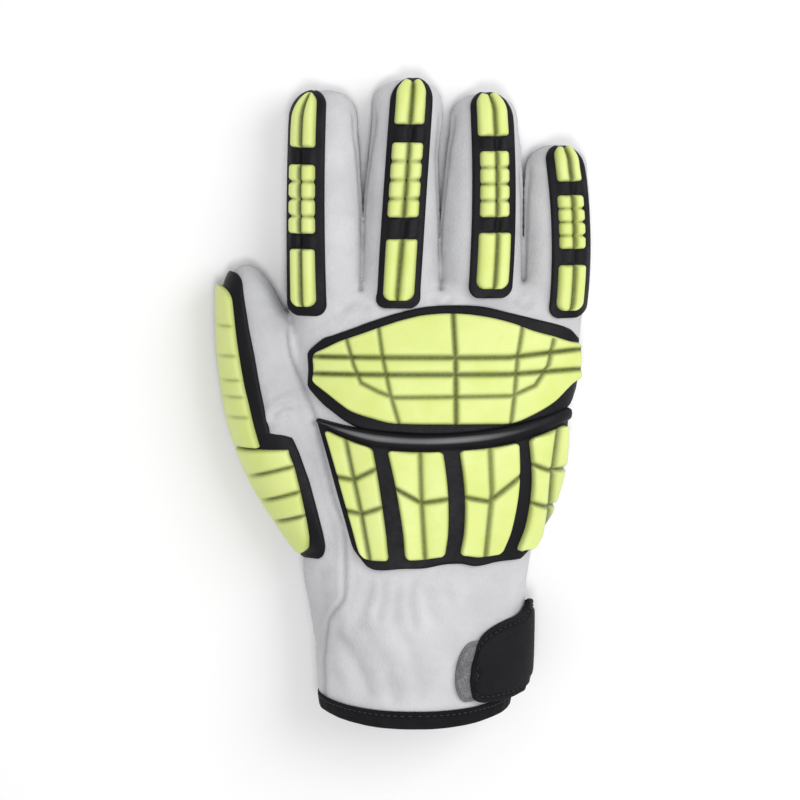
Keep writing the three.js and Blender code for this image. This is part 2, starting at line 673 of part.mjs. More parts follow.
// Guard along the thumb
function alongThumb(row, share, height, outerAngle) {
  const inner = thumb.angleAt(row.inner, row.y, GUARD_MIDDLE);
  return thumb.raised(row.y, lerp(inner, outerAngle, share), height);
}
const thumbShares = () => [0, 0.2, 0.4, 0.6, 0.8, 1];
add('thumb_base', pad(THUMB_BASE, thumbShares, (s, c, h) => alongThumb(s, c, h, THUMB_OUTER_ANGLE), BASE_LOW,
  () => BASE_HIGH), blackRubber);
THUMB_BLOCKS.forEach(({ name, rows }) => {
  const stations = rows.flatMap((row, k) => {
    const next = rows[k + 1];
    const groove = { ...row, dip: GROOVE };
    if (!next) return [{ ...row, dip: 0.6 }];
    const shifted = (t) => ({ y: lerp(row.y, next.y, t), inner: lerp(row.inner, next.inner, t), dip: 0 });
    return [k === 0 ? { ...row, dip: 0.6 } : groove, shifted(0.12), shifted(0.88)];
  });
  const top = (s, c) => BLOCK_HIGH - s.dip - (c === 0 || c === 1 ? 0.7 : 0);
  add(name, pad(stations, thumbShares, (s, c, h) => alongThumb(s, c, h, THUMB_BLOCK_ANGLE), BLOCK_LOW, top),
    yellowRubber);
});

// Palm patch, under the flattened palm
const patchColumns = (s) => [0, 0.25, 0.5, 0.75, 1].map((t) => lerp(s.near, s.far, t));
const underPalm = (s, y, height) => new THREE.Vector3(s.x, y, REST - height);
add('palm_patch', pad(PATCH_ROWS, patchColumns, underPalm, REST - PATCH_THICK, () => REST), leather);

// Hem binding: a folded strip over the edge of the leather
function bindingRing(height, y) {
  return Array.from({ length: HAND_SIDES }, (_, k) => {
    const angle = (k / HAND_SIDES) * 2 * Math.PI;
    return hand.point(y, angle, -height);
  });
}
const outside = SEAM + BINDING_THICK;
const inside = -WALL - SEAM;
const bindingProfile = [
  [outside, BINDING_HEIGHT], [outside, -BINDING_LIP], [inside - BINDING_LIP, -BINDING_LIP],
  [inside - BINDING_LIP, BINDING_HEIGHT], [inside, BINDING_HEIGHT], [inside, -SEAM], [SEAM, -SEAM],
  [SEAM, BINDING_HEIGHT],
];

/** Closed ring solid whose cross-section is a closed profile. */
function hoop(profile, place) {
  const rings = profile.map(([height, y]) => place(height, y));
  const count = rings[0].length;
  const faces = [];
  rings.forEach((_, i) => {
    const next = (i + 1) % rings.length;
    for (let j = 0; j < count; j += 1) {
      const k = (j + 1) % count;
      faces.push(i * count + j, i * count + k, next * count + k, i * count + j, next * count + k, next * count + j);
    }
  });
  return indexed(rings.flat(), faces);
}
add('cuff_binding', hoop(bindingProfile, bindingRing), blackFabric);

// Wrist closure
const loopColumns = () => [LOOP_PATCH.near, lerp(LOOP_PATCH.near, LOOP_PATCH.far, 0.5), LOOP_PATCH.far];
const loopStart = hand.angleAt(LOOP_PATCH.left, lerp(LOOP_PATCH.near, LOOP_PATCH.far, 0.5), LOOP_PATCH.high);
const loopAngles = [0, 0.25, 0.5, 0.75, 1].map((t) => lerp(loopStart, LOOP_PATCH.endAngle, t));
add('loop_patch', pad(loopAngles, loopColumns, (angle, y, h) => hand.raised(y, angle, h), LOOP_PATCH.low,
  () => LOOP_PATCH.high), greyLoop);

const tabStations = [
  ...TAB_ROWS.map((row) => ({ ...row, angle: hand.angleAt(row.x, (row.near + row.far) / 2, TAB_HIGH) })),
  ...TAB_WRAP,
];
const tabColumns = (s) => [0, 0.25, 0.5, 0.75, 1].map((t) => lerp(s.near, s.far, t));
add('wrist_tab', pad(tabStations, tabColumns, (s, y, h) => hand.raised(y, s.angle, h), TAB_LOW, () => TAB_HIGH),
  blackFabric);

// The glove stands centred on its origin
const box = new THREE.Box3().setFromObject(glove);
glove.position.set(-(box.min.x + box.max.x) / 2, -(box.min.y + box.max.y) / 2, -box.min.z);

export default glove;
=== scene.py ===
"""Right-hand impact work glove lying palm down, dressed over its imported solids.

Shapes are worked out in pattern millimetres: x across the hand, y from the hem towards the fingertips, z up
from the floor. A mesh is turned into the frame's metres just before it becomes an object.
"""

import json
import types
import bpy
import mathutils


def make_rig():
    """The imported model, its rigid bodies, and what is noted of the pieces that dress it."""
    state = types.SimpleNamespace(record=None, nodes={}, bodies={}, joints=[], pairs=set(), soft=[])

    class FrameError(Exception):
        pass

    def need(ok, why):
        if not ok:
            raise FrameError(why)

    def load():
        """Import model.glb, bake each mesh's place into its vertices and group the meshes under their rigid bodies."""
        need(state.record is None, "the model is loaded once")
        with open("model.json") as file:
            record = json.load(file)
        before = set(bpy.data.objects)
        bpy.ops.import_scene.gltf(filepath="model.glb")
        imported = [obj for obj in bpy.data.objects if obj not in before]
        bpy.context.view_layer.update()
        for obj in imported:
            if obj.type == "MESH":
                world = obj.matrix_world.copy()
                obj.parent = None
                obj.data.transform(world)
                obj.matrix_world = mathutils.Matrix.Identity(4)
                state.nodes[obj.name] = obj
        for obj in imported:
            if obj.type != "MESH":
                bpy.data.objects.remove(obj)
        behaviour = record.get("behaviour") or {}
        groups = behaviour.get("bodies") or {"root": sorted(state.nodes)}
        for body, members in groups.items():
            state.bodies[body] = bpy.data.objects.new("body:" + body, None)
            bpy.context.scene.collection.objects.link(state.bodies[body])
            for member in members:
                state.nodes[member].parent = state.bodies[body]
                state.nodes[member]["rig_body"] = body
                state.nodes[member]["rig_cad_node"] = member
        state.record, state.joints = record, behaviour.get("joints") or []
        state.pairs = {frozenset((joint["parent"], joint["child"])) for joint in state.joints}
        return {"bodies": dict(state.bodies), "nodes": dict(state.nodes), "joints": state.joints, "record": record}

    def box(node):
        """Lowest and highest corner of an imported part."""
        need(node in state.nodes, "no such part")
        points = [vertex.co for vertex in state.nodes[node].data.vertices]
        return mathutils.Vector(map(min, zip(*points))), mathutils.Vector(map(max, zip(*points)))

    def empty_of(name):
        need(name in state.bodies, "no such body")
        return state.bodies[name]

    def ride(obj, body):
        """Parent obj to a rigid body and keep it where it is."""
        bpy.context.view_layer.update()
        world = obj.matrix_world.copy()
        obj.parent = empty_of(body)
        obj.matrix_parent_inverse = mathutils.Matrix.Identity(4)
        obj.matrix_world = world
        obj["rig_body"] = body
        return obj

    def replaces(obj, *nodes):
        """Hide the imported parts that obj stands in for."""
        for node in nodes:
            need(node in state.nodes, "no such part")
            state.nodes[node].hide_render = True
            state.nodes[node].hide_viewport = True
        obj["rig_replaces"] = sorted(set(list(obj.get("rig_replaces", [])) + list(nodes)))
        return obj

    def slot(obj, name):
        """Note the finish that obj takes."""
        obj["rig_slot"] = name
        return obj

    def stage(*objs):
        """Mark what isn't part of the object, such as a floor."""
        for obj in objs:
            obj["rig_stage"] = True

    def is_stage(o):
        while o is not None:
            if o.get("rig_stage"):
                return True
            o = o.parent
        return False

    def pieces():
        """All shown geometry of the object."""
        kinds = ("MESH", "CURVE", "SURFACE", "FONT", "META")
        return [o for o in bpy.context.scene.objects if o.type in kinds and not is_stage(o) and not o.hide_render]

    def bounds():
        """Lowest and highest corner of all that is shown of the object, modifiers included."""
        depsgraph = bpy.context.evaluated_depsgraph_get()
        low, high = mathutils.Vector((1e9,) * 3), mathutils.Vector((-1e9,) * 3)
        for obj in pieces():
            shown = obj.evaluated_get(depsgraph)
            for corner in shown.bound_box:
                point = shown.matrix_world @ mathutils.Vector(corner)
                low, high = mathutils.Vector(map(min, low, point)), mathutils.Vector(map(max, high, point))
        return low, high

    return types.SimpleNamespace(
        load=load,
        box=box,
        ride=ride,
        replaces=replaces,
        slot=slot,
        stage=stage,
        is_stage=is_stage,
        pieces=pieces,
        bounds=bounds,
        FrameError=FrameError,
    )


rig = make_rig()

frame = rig.load()
CAD_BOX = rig.bounds()

import json
import logging
import math
from dataclasses import dataclass
from enum import Enum
from typing import Callable, Iterable, Optional, Sequence

import bmesh
import bpy
import numpy as np
from mathutils import Matrix, Vector, noise
from mathutils.bvhtree import BVHTree

log = logging.getLogger("glove")

Array = np.ndarray
Pair = tuple[Array, Array]
Two = tuple[float, float]
Three = tuple[float, float, float]
BMesh = bmesh.types.BMesh
Socket = bpy.types.NodeSocket
Material = bpy.types.Material

BODY = "root"
TURN = 2 * math.pi
REST = 1.7            # height of the flattened underside of the palm
WALL = 1.5            # thickness of the leather
VOXEL = 1.1           # spacing of the leather's mesh
SHRINK = 0.6          # the leather is meshed this much slimmer, so that neighbouring fingers stay apart
HEM_RISE = 5.0        # how far the hem lies higher at the sides than over the back
HEM_FADE = 28.0       # length over which that rise dies out
SECTION_POWER = 2.3   # 2 is an ellipse, more is squarer
MID_SHARE = 0.44      # a section is widest at this share of its height
GUARD_MIDDLE = 2.6    # height above the leather at which the outlines of the guards are given
BASE_LOW = -0.6       # the guards' black bases reach this far into the leather
BASE_EDGE = 0.5       # height above it at which their rounded rim starts
BASE_HIGH = 1.9       # height of their top
BLOCK_LOW = 1.2       # the yellow blocks reach this far down into the bases
BLOCK_HIGH = 4.7      # height of their top
GROOVE_LOW = 2.25     # lowest height of a groove in a block
PATCH_LEFT = -60.0    # where the solid of the palm patch begins in x
BINDING_NEAR = -1.1   # where the solid of the binding begins in y
TAB_BORDER = 2.6      # how far the tab's stitches lie from its edge
OFFSET = np.array([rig.box("palm_patch")[0][0] * 1000 - PATCH_LEFT,
                   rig.box("cuff_binding")[0][1] * 1000 - BINDING_NEAR, 0.0])


# Number helpers

def ramp(value: Array, start: float, length: float) -> Array:
    """Rises evenly from 0 at start to 1 after the given length."""
    return np.clip((value - start) / length, 0, 1)


def fall(value: Array, end: float, length: float) -> Array:
    """Falls evenly from 1 to 0 over the given length before end."""
    return np.clip((end - value) / length, 0, 1)


def bell(distance: Array, width: float) -> Array:
    """Rounded bump of height 1 at distance 0."""
    return np.exp(-(distance / width) ** 2)


def paired(first: Array, second: Array) -> Pair:
    """Spreads two sets of numbers to the same length."""
    first, second = np.broadcast_arrays(np.asarray(first, float), np.asarray(second, float))
    return first.ravel(), second.ravel()


def half_round(value: Array) -> Array:
    """Gives the height of a half circle of radius 1 at a distance from its middle."""
    return np.sqrt(np.clip(1 - value ** 2, 0, 1))


def across_hand(ways: Array) -> Array:
    """Takes the part along y out of directions."""
    ways[:, 1] = 0
    return ways / np.linalg.norm(ways, axis=1, keepdims=True)


def through(three: Three, share: Array) -> Array:
    """Draws a smooth curve through three values at shares 0, 0.5 and 1."""
    return (three[0] * (1 - share) * (1 - 2 * share) + three[1] * 4 * share * (1 - share)
            + three[2] * share * (2 * share - 1))


def squarer(value: Array) -> Array:
    """Bends the sine or cosine of an angle, so that a section is squarer than an ellipse."""
    return np.sign(value) * np.abs(value) ** (2 / SECTION_POWER)


def away_from_lines(x: Array, y: Array, lines: Iterable[Sequence[Two]]) -> Array:
    """Measures the distance in plan from each point to the nearest of several broken lines."""
    best = np.full(x.shape, 1e9)
    for line in lines:
        for (ax, ay), (bx, by) in zip(line[:-1], line[1:]):
            dx, dy = bx - ax, by - ay
            t = np.clip(((x - ax) * dx + (y - ay) * dy) / (dx * dx + dy * dy), 0, 1)
            best = np.minimum(best, np.hypot(x - ax - t * dx, y - ay - t * dy))
    return best


def spaced(length: float, step: float) -> Array:
    """Divides a length into rising shares, a step apart and closer together towards its two ends."""
    near = np.array((0, 0.18, 0.45, 0.85, 1.3))
    count = max(2, int(round((length - 2 * near[-1]) / step)))
    middle = np.linspace(near[-1], length - near[-1], count + 1)[1:-1]
    return np.concatenate([near, middle, (length - near)[::-1]]) / length


def corner_inset(share: Array, length: float, start: float, end: float) -> Array:
    """Works out how far a pad's sides draw in at its rounded corners.

    Args:
        share: Shares along the pad.
        length: Its length.
        start: Corner radius at share 0.
        end: Corner radius at share 1.

    Returns:
        The inset in millimetres at each share.
    """
    def arc(distance: Array, radius: float) -> Array:
        """Draws one corner as a quarter circle."""
        inside = np.clip(radius - distance, 0, radius)
        return radius - np.sqrt(np.clip(radius ** 2 - inside ** 2, 0, None))

    return arc(share * length, start) + arc((1 - share) * length, end)


# Surfaces of the hand and fingers

class Track:
    """Smooth run of several values through given stations."""

    def __init__(self, rows: Sequence[Sequence[float]]) -> None:
        """Keeps the stations and works out the slope at each, level at the last.

        Args:
            rows: Rising stations, each with its values after it.
        """
        table = np.asarray(rows, float)
        self.keys, self.values = k, v = table[:, 0], table[:, 1:]
        self.slopes = np.zeros_like(v)
        self.slopes[1:-1] = (v[2:] - v[:-2]) / (k[2:] - k[:-2])[:, None]
        self.slopes[0] = (v[1] - v[0]) / (k[1] - k[0])

    def at(self, where: Array) -> Array:
        """Reads the values at any positions.

        Args:
            where: Positions, held to the first and last station.

        Returns:
            One row of values for each position.
        """
        at = np.clip(np.atleast_1d(np.asarray(where, float)), self.keys[0], self.keys[-1])
        i = np.clip(np.searchsorted(self.keys, at, side="right") - 1, 0, len(self.keys) - 2)
        span = self.keys[i + 1] - self.keys[i]
        t = ((at - self.keys[i]) / span)[:, None]
        span = span[:, None]
        return (self.values[i] * (1 + 2 * t) * (1 - t) ** 2 + self.slopes[i] * span * t * (1 - t) ** 2
                + self.values[i + 1] * t * t * (3 - 2 * t) + self.slopes[i + 1] * span * t * t * (t - 1))

    def line(self, where: Array) -> Array:
        """Reads the first value at any positions."""
        return self.at(where)[:, 0]


class Tube:
    """Closed form of leather whose sections lie at constant y."""

    def __init__(self, rows: Sequence[Sequence[float]], tip: Optional[float] = None, dome: float = 0.0,
                 rest: float = 0.0, hem: float = 0.0) -> None:
        """Sets up the form.

        Args:
            rows: Sections as y, left, right, top and sole.
            tip: Where the closed end lies, or None for a form cut off square.
            dome: Length of the rounded end.
            rest: Lowest height that the form may reach.
            hem: Rise of the hem at the two sides.
        """
        self.track = Track(rows)
        self.start = rows[0][0]
        self.tip = rows[-1][0] if tip is None else tip
        self.dome, self.rest, self.hem = dome, rest, hem

    def sizes(self, y: Array, inset: float = 0.0) -> tuple[Array, ...]:
        """Reads centre, half-width, middle height, rise and drop of the sections at y, drawn in by inset."""
        left, right, top, sole = self.track.at(y).T
        middle = sole + (top - sole) * MID_SHARE
        along = np.zeros_like(left)
        if self.dome:
            along = np.clip((y + inset - self.tip + self.dome) / self.dome, 0, 1)
        swell = (1 - along ** SECTION_POWER) ** (1 / SECTION_POWER)
        return ((left + right) / 2, ((right - left) / 2 - inset) * swell, middle,
                (top - middle - inset) * swell, (middle - sole - inset) * swell)

    def point(self, y: Array, angle: Array, inset: float = 0.0) -> Array:
        """Gives points of the surface.

        Args:
            y: Stations along the form.
            angle: Turn round it, 0 at the right side and a quarter turn at the top.
            inset: Distance inwards from the surface.

        Returns:
            One row of x, y and z for each point.
        """
        y, angle = paired(y, angle)
        centre, half, middle, rise, drop = self.sizes(y, inset)
        up = squarer(np.sin(angle))
        z = middle + up * np.where(up > 0, rise, drop)
        fade = np.clip(1 - np.clip(y, 0, None) / HEM_FADE, 0, None)
        shift = self.hem * np.cos(angle) ** 2 * fade
        x = centre + squarer(np.cos(angle)) * half
        return np.stack([x, y + shift, np.maximum(z, self.rest + inset)], axis=1)

    def normal(self, y: Array, angle: Array) -> Array:
        """Gives the outward directions of the surface at y and angle."""
        step = 0.02
        y, angle = paired(y, angle)
        round_it = self.point(y, angle + step) - self.point(y, angle - step)
        along = self.point(y + step, angle) - self.point(y - step, angle)
        normals = np.cross(along, round_it)
        return normals / np.maximum(np.linalg.norm(normals, axis=1, keepdims=True), 1e-9)

    def angle_at(self, x: Array, y: Array, height: float) -> Array:
        """Finds the angle on the upper half at which the surface raised by height lies at x."""
        x, y = paired(x, y)
        low, high = np.full(x.shape, 0.02), np.full(x.shape, math.pi - 0.02)
        for _ in range(26):
            mid = (low + high) / 2
            reached = (self.point(y, mid) + self.normal(y, mid) * height)[:, 0]
            low = np.where(reached > x, mid, low)
            high = np.where(reached > x, high, mid)
        return (low + high) / 2


HAND_ROWS = (
    (0, -47.6, 27.6, 46, -1.5), (13, -48.9, 29.4, 45.5, -1.5), (29.3, -50.5, 32.2, 43.5, -1.5),
    (46.2, -53, 34.6, 40.5, -1.5), (57.5, -55.3, 36, 38.5, -1.5), (68.8, -55.2, 37.8, 38, -2),
    (80, -55, 41.5, 38, -2), (94.2, -55.8, 45.7, 37.5, -2.5), (108.3, -57.5, 49, 36.5, -2.5),
    (125.2, -58.7, 52.2, 35, -2.5), (142.1, -59.2, 55.3, 33.5, -2), (159, -60.3, 57.2, 31, -1),
    (170.3, -61.2, 58.9, 27, 0), (176, -60.3, 58, 22.5, 2),
)
THUMB_ROWS = (
    (60.3, -47.9, -32.1, 26, 3), (71.6, -56.5, -28.8, 31, 0), (88.5, -67.9, -27.6, 32, -1.5),
    (97, -73, -31.5, 31.6, -1.5), (105.5, -76.8, -36.1, 31, -1.5), (122.4, -82.4, -44.6, 30, -1.5),
    (136.5, -84.6, -51.9, 28.5, -1), (147.8, -86, -56, 27, 0), (156, -86.4, -58.4, 26, 0),
    (162, -86.5, -60.8, 25.2, 0), (166, -86.5, -63.2, 24.6, 0), (171, -86.6, -65.6, 23.6, 0),
    (177, -86.4, -68.6, 22.4, 0.4), (183, -85.8, -70.6, 21.4, 1),
)
HAND = Tube(HAND_ROWS, rest=REST, hem=HEM_RISE)
THUMB = Tube(THUMB_ROWS, tip=184, dome=13, rest=REST)


@dataclass(frozen=True)
class Finger:
    """A finger: its sections, its rounded end, and the guard along its back."""

    name: str
    rows: tuple
    tip: float
    dome: float
    foot: float
    top: float
    left: Three
    right: Three
    split: tuple[float, ...]
    rims: tuple[Two, ...]
    base_corners: Two
    tip_corners: Two

    def tube(self) -> Tube:
        """Makes the finger's surface."""
        return Tube(self.rows, tip=self.tip, dome=self.dome)

    def width(self, rims: Two) -> float:
        """Width of the guard between two rims."""
        return (self.right[0] - self.left[0]) - sum(rims)


FINGERS = (
    Finger("index",
           ((155, -58.8, -34, 23, 4), (173.1, -62, -31.4, 27, 1), (195.7, -62.3, -31.2, 25.5, 1.2),
            (211, -61.8, -31.6, 24.4, 0), (229.6, -60.8, -32.3, 23, -1.5), (240.8, -59.9, -33.2, 21.5, -1.5)),
           254.6, 12, 164.4, 253.6, (-61.4, -61.7, -60.2), (-45.2, -46.2, -45.3),
           (0.045, 0.304, 0.373, 0.683, 0.757, 0.98), ((1.7, 4.2), (1.2, 3.9), (1.4, 4.0)),
           (9.5, 4.5), (8.5, 2.4)),
    Finger("middle",
           ((155, -28.5, -2.5, 23, 4), (173.1, -30.8, 0, 27.5, 1), (195.7, -30.7, -0.3, 26.5, 1.2),
            (211, -30.2, -0.5, 25.2, 0), (229.6, -28.6, -0.6, 23.5, -1.5), (246.5, -27.2, 1.4, 21.5, -1.5)),
           258.9, 10.5, 167.8, 258.4, (-25.8, -22.9, -19.6), (-7.8, -5.0, -1.9),
           (0.036, 0.308, 0.402, 0.732, 0.812, 0.98), ((2.5, 2.6), (2.3, 2.8), (2.5, 3.0)),
           (7.6, 7.6), (3.7, 3.7)),
    Finger("ring",
           ((155, 3.5, 31.5, 23, 4), (173.1, 1.4, 33.6, 27, 1), (195.7, 0.9, 33.8, 26, 1.2),
            (229.6, 3.1, 32.9, 23, -1.5), (240.8, 4.3, 31.6, 21.5, -1.5)),
           253.4, 11, 171.8, 252.7, (11.1, 12.9, 11.8), (29.4, 30.9, 29.4),
           (0.048, 0.326, 0.402, 0.728, 0.8, 0.98), ((3.1, 1.9), (3.3, 2.7), (2.7, 2.5)),
           (5.0, 9.0), (2.4, 5.6)),
    Finger("little",
           ((155, 37, 56, 22, 4), (173.1, 34.8, 59.5, 24.5, 1), (195.7, 34.6, 60.9, 23, 1),
            (212.6, 34.5, 60.9, 21.5, -0.5), (222, 34.9, 59.9, 20.5, -1.5)),
           232.3, 10, 163.4, 231.3, (43.6, 45.0, 41.8), (59.2, 61.1, 57.8),
           (0.047, 0.318, 0.412, 0.729, 0.808, 0.98), ((2.9, 2.1), (3.1, 2.4), (3.8, 2.4)),
           (5.0, 7.5), (2.2, 4.4)),
)

SIDE_SEAM = Track(((-20, 21), (50, 18.5), (90, 15), (140, 14), (170, 11.5), (280, 9.5)))
THUMB_SEAM = Track(((56, -37), (71, -36), (92, -43), (120, -49.3), (138, -55.6), (150, -60.2), (163, -61.2),
                    (190, -61.8)))
THUMB_FOOT = Track(((-110, 62), (-58, 56), (-40, 60), (-30, 66)))
STRIP_START = 170.0        # where the strips between the fingers begin
STRIP_END_CUT = 9.0        # how far before the shorter finger's tip they end
STRIP_LEVELS = (5.5, 15.5)  # heights of their two seams
STRIPS = tuple((one, two, min(one.tip, two.tip) - STRIP_END_CUT)
               for one, two in zip(FINGERS[:-1], FINGERS[1:]))


# Finishes

class Cloth(Enum):
    """Kinds of fabric."""

    WOVEN = "woven"
    LOOPED = "looped"


class NodeBoard:
    """Lays out the nodes of one material round a Principled shader."""

    def __init__(self, name: str) -> None:
        """Makes the material with its shader and output."""
        self.material = bpy.data.materials.new(name)
        self.material.use_nodes = True
        self.tree = self.material.node_tree
        self.tree.nodes.clear()
        self.shader = self.node("BsdfPrincipled", {})
        self.node("OutputMaterial", {"Surface": self.shader.outputs[0]})
        self.place = self.node("TexCoord", {}).outputs["Object"]

    def fill(self, node: bpy.types.Node, inputs: dict) -> None:
        """Gives a node's inputs, by name or number, a number, a colour or another node's output."""
        for key, value in inputs.items():
            if isinstance(value, Socket):
                self.tree.links.new(value, node.inputs[key])
            else:
                node.inputs[key].default_value = (*value, 1) if isinstance(value, tuple) else value

    def node(self, kind: str, inputs: dict, **settings: str) -> bpy.types.Node:
        """Adds a node.

        Args:
            kind: Its type, without the word ShaderNode.
            inputs: Its inputs, by name or number.
            settings: Its own settings.

        Returns:
            The new node.
        """
        node = self.tree.nodes.new(f"ShaderNode{kind}")
        for key, value in settings.items():
            setattr(node, key, value)
        self.fill(node, inputs)
        return node

    def noise(self, scale: float, detail: float = 4, rough: float = 0.55) -> Socket:
        """Adds noise over the object, of so many waves per metre, finer octaves and their strength."""
        inputs = {"Scale": scale, "Detail": detail, "Roughness": rough, "Vector": self.place}
        return self.node("TexNoise", inputs).outputs[0]

    def cells(self, scale: float) -> Socket:
        """Adds rounded cells over the object, as distances from their centres."""
        return self.node("TexVoronoi", {"Scale": scale, "Vector": self.place}).outputs["Distance"]

    def attribute(self, name: str) -> Socket:
        """Reads a value kept on the mesh."""
        return self.node("Attribute", {}, attribute_name=name).outputs["Fac"]

    def wave(self, scale: float, across: str) -> Socket:
        """Adds even bands across X or Y of the piece's own UV map."""
        uv = self.node("UVMap", {}, uv_map="UVMap").outputs["UV"]
        return self.node("TexWave", {"Scale": scale, "Vector": uv}, bands_direction=across).outputs["Fac"]

    def span(self, value: Socket, low: float, high: float, out_low: float = 0.0,
             out_high: float = 1.0) -> Socket:
        """Stretches a value from one range to another, held to its ends."""
        inputs = {"Value": value, "From Min": low, "From Max": high, "To Min": out_low, "To Max": out_high}
        return self.node("MapRange", inputs).outputs["Result"]

    def math(self, operation: str, first: Socket, second: Socket) -> Socket:
        """Combines two values."""
        return self.node("Math", {0: first, 1: second}, operation=operation).outputs[0]

    def blend(self, share: Socket, first: Three | Socket, second: Three | Socket) -> Socket:
        """Mixes two linear colours by a share that is 0 for the first and 1 for the second."""
        return self.node("Mix", {0: share, 6: first, 7: second}, data_type="RGBA").outputs[2]

    def relief(self, height: Socket, depth: float, strength: float, under: Optional[Socket] = None) -> Socket:
        """Turns a height from 0 to 1 into relief of a depth in metres, on top of another relief."""
        inputs = {"Strength": strength, "Distance": depth, "Height": height}
        return self.node("Bump", inputs if under is None else {**inputs, "Normal": under}).outputs[0]

    def done(self, colour: Socket, roughness: float | Socket, specular: float,
             normal: Optional[Socket] = None, sheen: float = 0.0) -> Material:
        """Fills the shader's inputs.

        Args:
            colour: Base colour.
            roughness: Roughness.
            specular: Strength of the mirror part.
            normal: Relief, if there is any.
            sheen: Strength of the soft edge light of cloth.

        Returns:
            The material.
        """
        inputs = {"Base Color": colour, "Roughness": roughness, "Specular IOR Level": specular,
                  "Sheen Weight": sheen}
        self.fill(self.shader, inputs if normal is None else {**inputs, "Normal": normal})
        return self.material


@dataclass(frozen=True)
class LeatherFinish:
    """Soft full-grain leather: fine pebbles, cloudy colour, and painted shade in creases, seams and over the thumb."""

    light: Three = (0.635, 0.635, 0.652)
    shade: Three = (0.535, 0.535, 0.557)
    # Colour of the painted shade in creases, seams and over the thumb
    crease: Three = (0.22, 0.22, 0.24)
    roughness: float = 0.68

    def make(self, name: str) -> Material:
        """Builds the material."""
        board = NodeBoard(name)
        base = board.blend(board.span(board.noise(38, 5, 0.6), 0.35, 0.65), self.shade, self.light)
        cell = board.cells(850)
        pores = board.math("MULTIPLY", board.span(cell, 0.2, 0.75), board.noise(900, 2))
        base = board.blend(board.span(pores, 0.25, 0.8, 0, 0.22), base, self.shade)
        # Painted shade, as much as the mesh's crease share asks for
        base = board.blend(board.span(board.attribute("crease"), 0.0, 1.0), base, self.crease)
        dull = board.span(board.noise(260, 3), 0.3, 0.7, self.roughness - 0.07, self.roughness + 0.1)
        folds = board.relief(board.noise(150, 4, 0.6), 0.0009, 0.35)
        grain = board.relief(cell, 0.00022, 0.55, folds)
        return board.done(base, dull, 0.35, board.relief(board.noise(3200, 2), 0.00008, 0.5, grain), 0.08)


@dataclass(frozen=True)
class RubberFinish:
    """Moulded rubber of an even colour, darkened by painted shade in its grooves and lightened by a painted highlight
    on a crest, which is also glossier.
    """

    light: Three
    shade: Three
    # Colour of the painted shade in grooves and at edges
    groove: Three
    roughness: float
    specular: float = 0.5
    gloss: float = 0.3
    # Colour of the painted highlight on a crest
    crest: Three = (0.19, 0.19, 0.2)

    def make(self, name: str) -> Material:
        """Builds the material."""
        board = NodeBoard(name)
        base = board.blend(board.span(board.noise(55), 0.35, 0.65), self.light, self.shade)
        painted_shade_and_highlight = board.attribute("groove")
        speck = board.span(board.noise(700, 3), 0.35, 0.7, 0.9, 1.0)
        # Painted shade in grooves and at edges, where the mesh's share is positive
        base = board.blend(board.math("MULTIPLY", board.span(painted_shade_and_highlight, 0, 1), speck), base, self.groove)
        # Painted highlight on a crest, where the mesh's share is negative
        base = board.blend(board.span(painted_shade_and_highlight, -1, -0.35, 1, 0), base, self.crest)
        dull = board.span(board.noise(420, 3), 0.3, 0.7, self.roughness - 0.05, self.roughness + 0.08)
        dull = board.math("MULTIPLY", dull, board.span(painted_shade_and_highlight, -1, 0, self.gloss / self.roughness, 1))
        skin = board.relief(board.noise(1500, 3), 0.00006, 0.5)
        return board.done(base, dull, self.specular, board.relief(board.noise(130, 2), 0.0004, 0.25, skin))


@dataclass(frozen=True)
class ClothFinish:
    """Woven or looped fabric, whose threads follow the piece's own UV map in metres."""

    light: Three
    dark: Three
    roughness: float
    pitch: float
    kind: Cloth = Cloth.WOVEN

    def make(self, name: str) -> Material:
        """Builds the material."""
        board = NodeBoard(name)
        looped = self.kind is Cloth.LOOPED
        if looped:
            height = board.span(board.math("ADD", board.noise(1800, 4, 0.7), board.cells(1300)), 0.4, 1.5)
        else:
            turns = 0.5 / self.pitch
            height = board.math("MAXIMUM", board.wave(turns, "X"), board.wave(turns * 0.8, "Y"))
            height = board.math("MULTIPLY", height, board.span(board.noise(900, 3), 0.2, 0.8, 0.75, 1.0))
        cloud = board.span(board.noise(70, 3), 0.35, 0.65, 0.0, 0.35)
        share = board.math("ADD", board.span(height, 0.2, 0.95, 0, 0.65), cloud)
        base = board.blend(share, self.dark, self.light)
        # Painted shade in pressed lines and at stitched edges
        base = board.blend(board.attribute("groove"), base, self.dark)
        return board.done(base, self.roughness, 0.3 if looped else 0.16, board.relief(height, 0.0003, 0.6),
                          0.15 if looped else 0.01)


@dataclass(frozen=True)
class FloorFinish:
    """Plain pale floor with the faintest cloudiness."""

    light: Three = (0.955, 0.955, 0.958)
    shade: Three = (0.94, 0.94, 0.944)

    def make(self, name: str) -> Material:
        """Builds the material."""
        board = NodeBoard(name)
        cloud = board.span(board.noise(6, 3), 0.3, 0.7)
        return board.done(board.blend(cloud, self.light, self.shade), 0.85, 0.2)


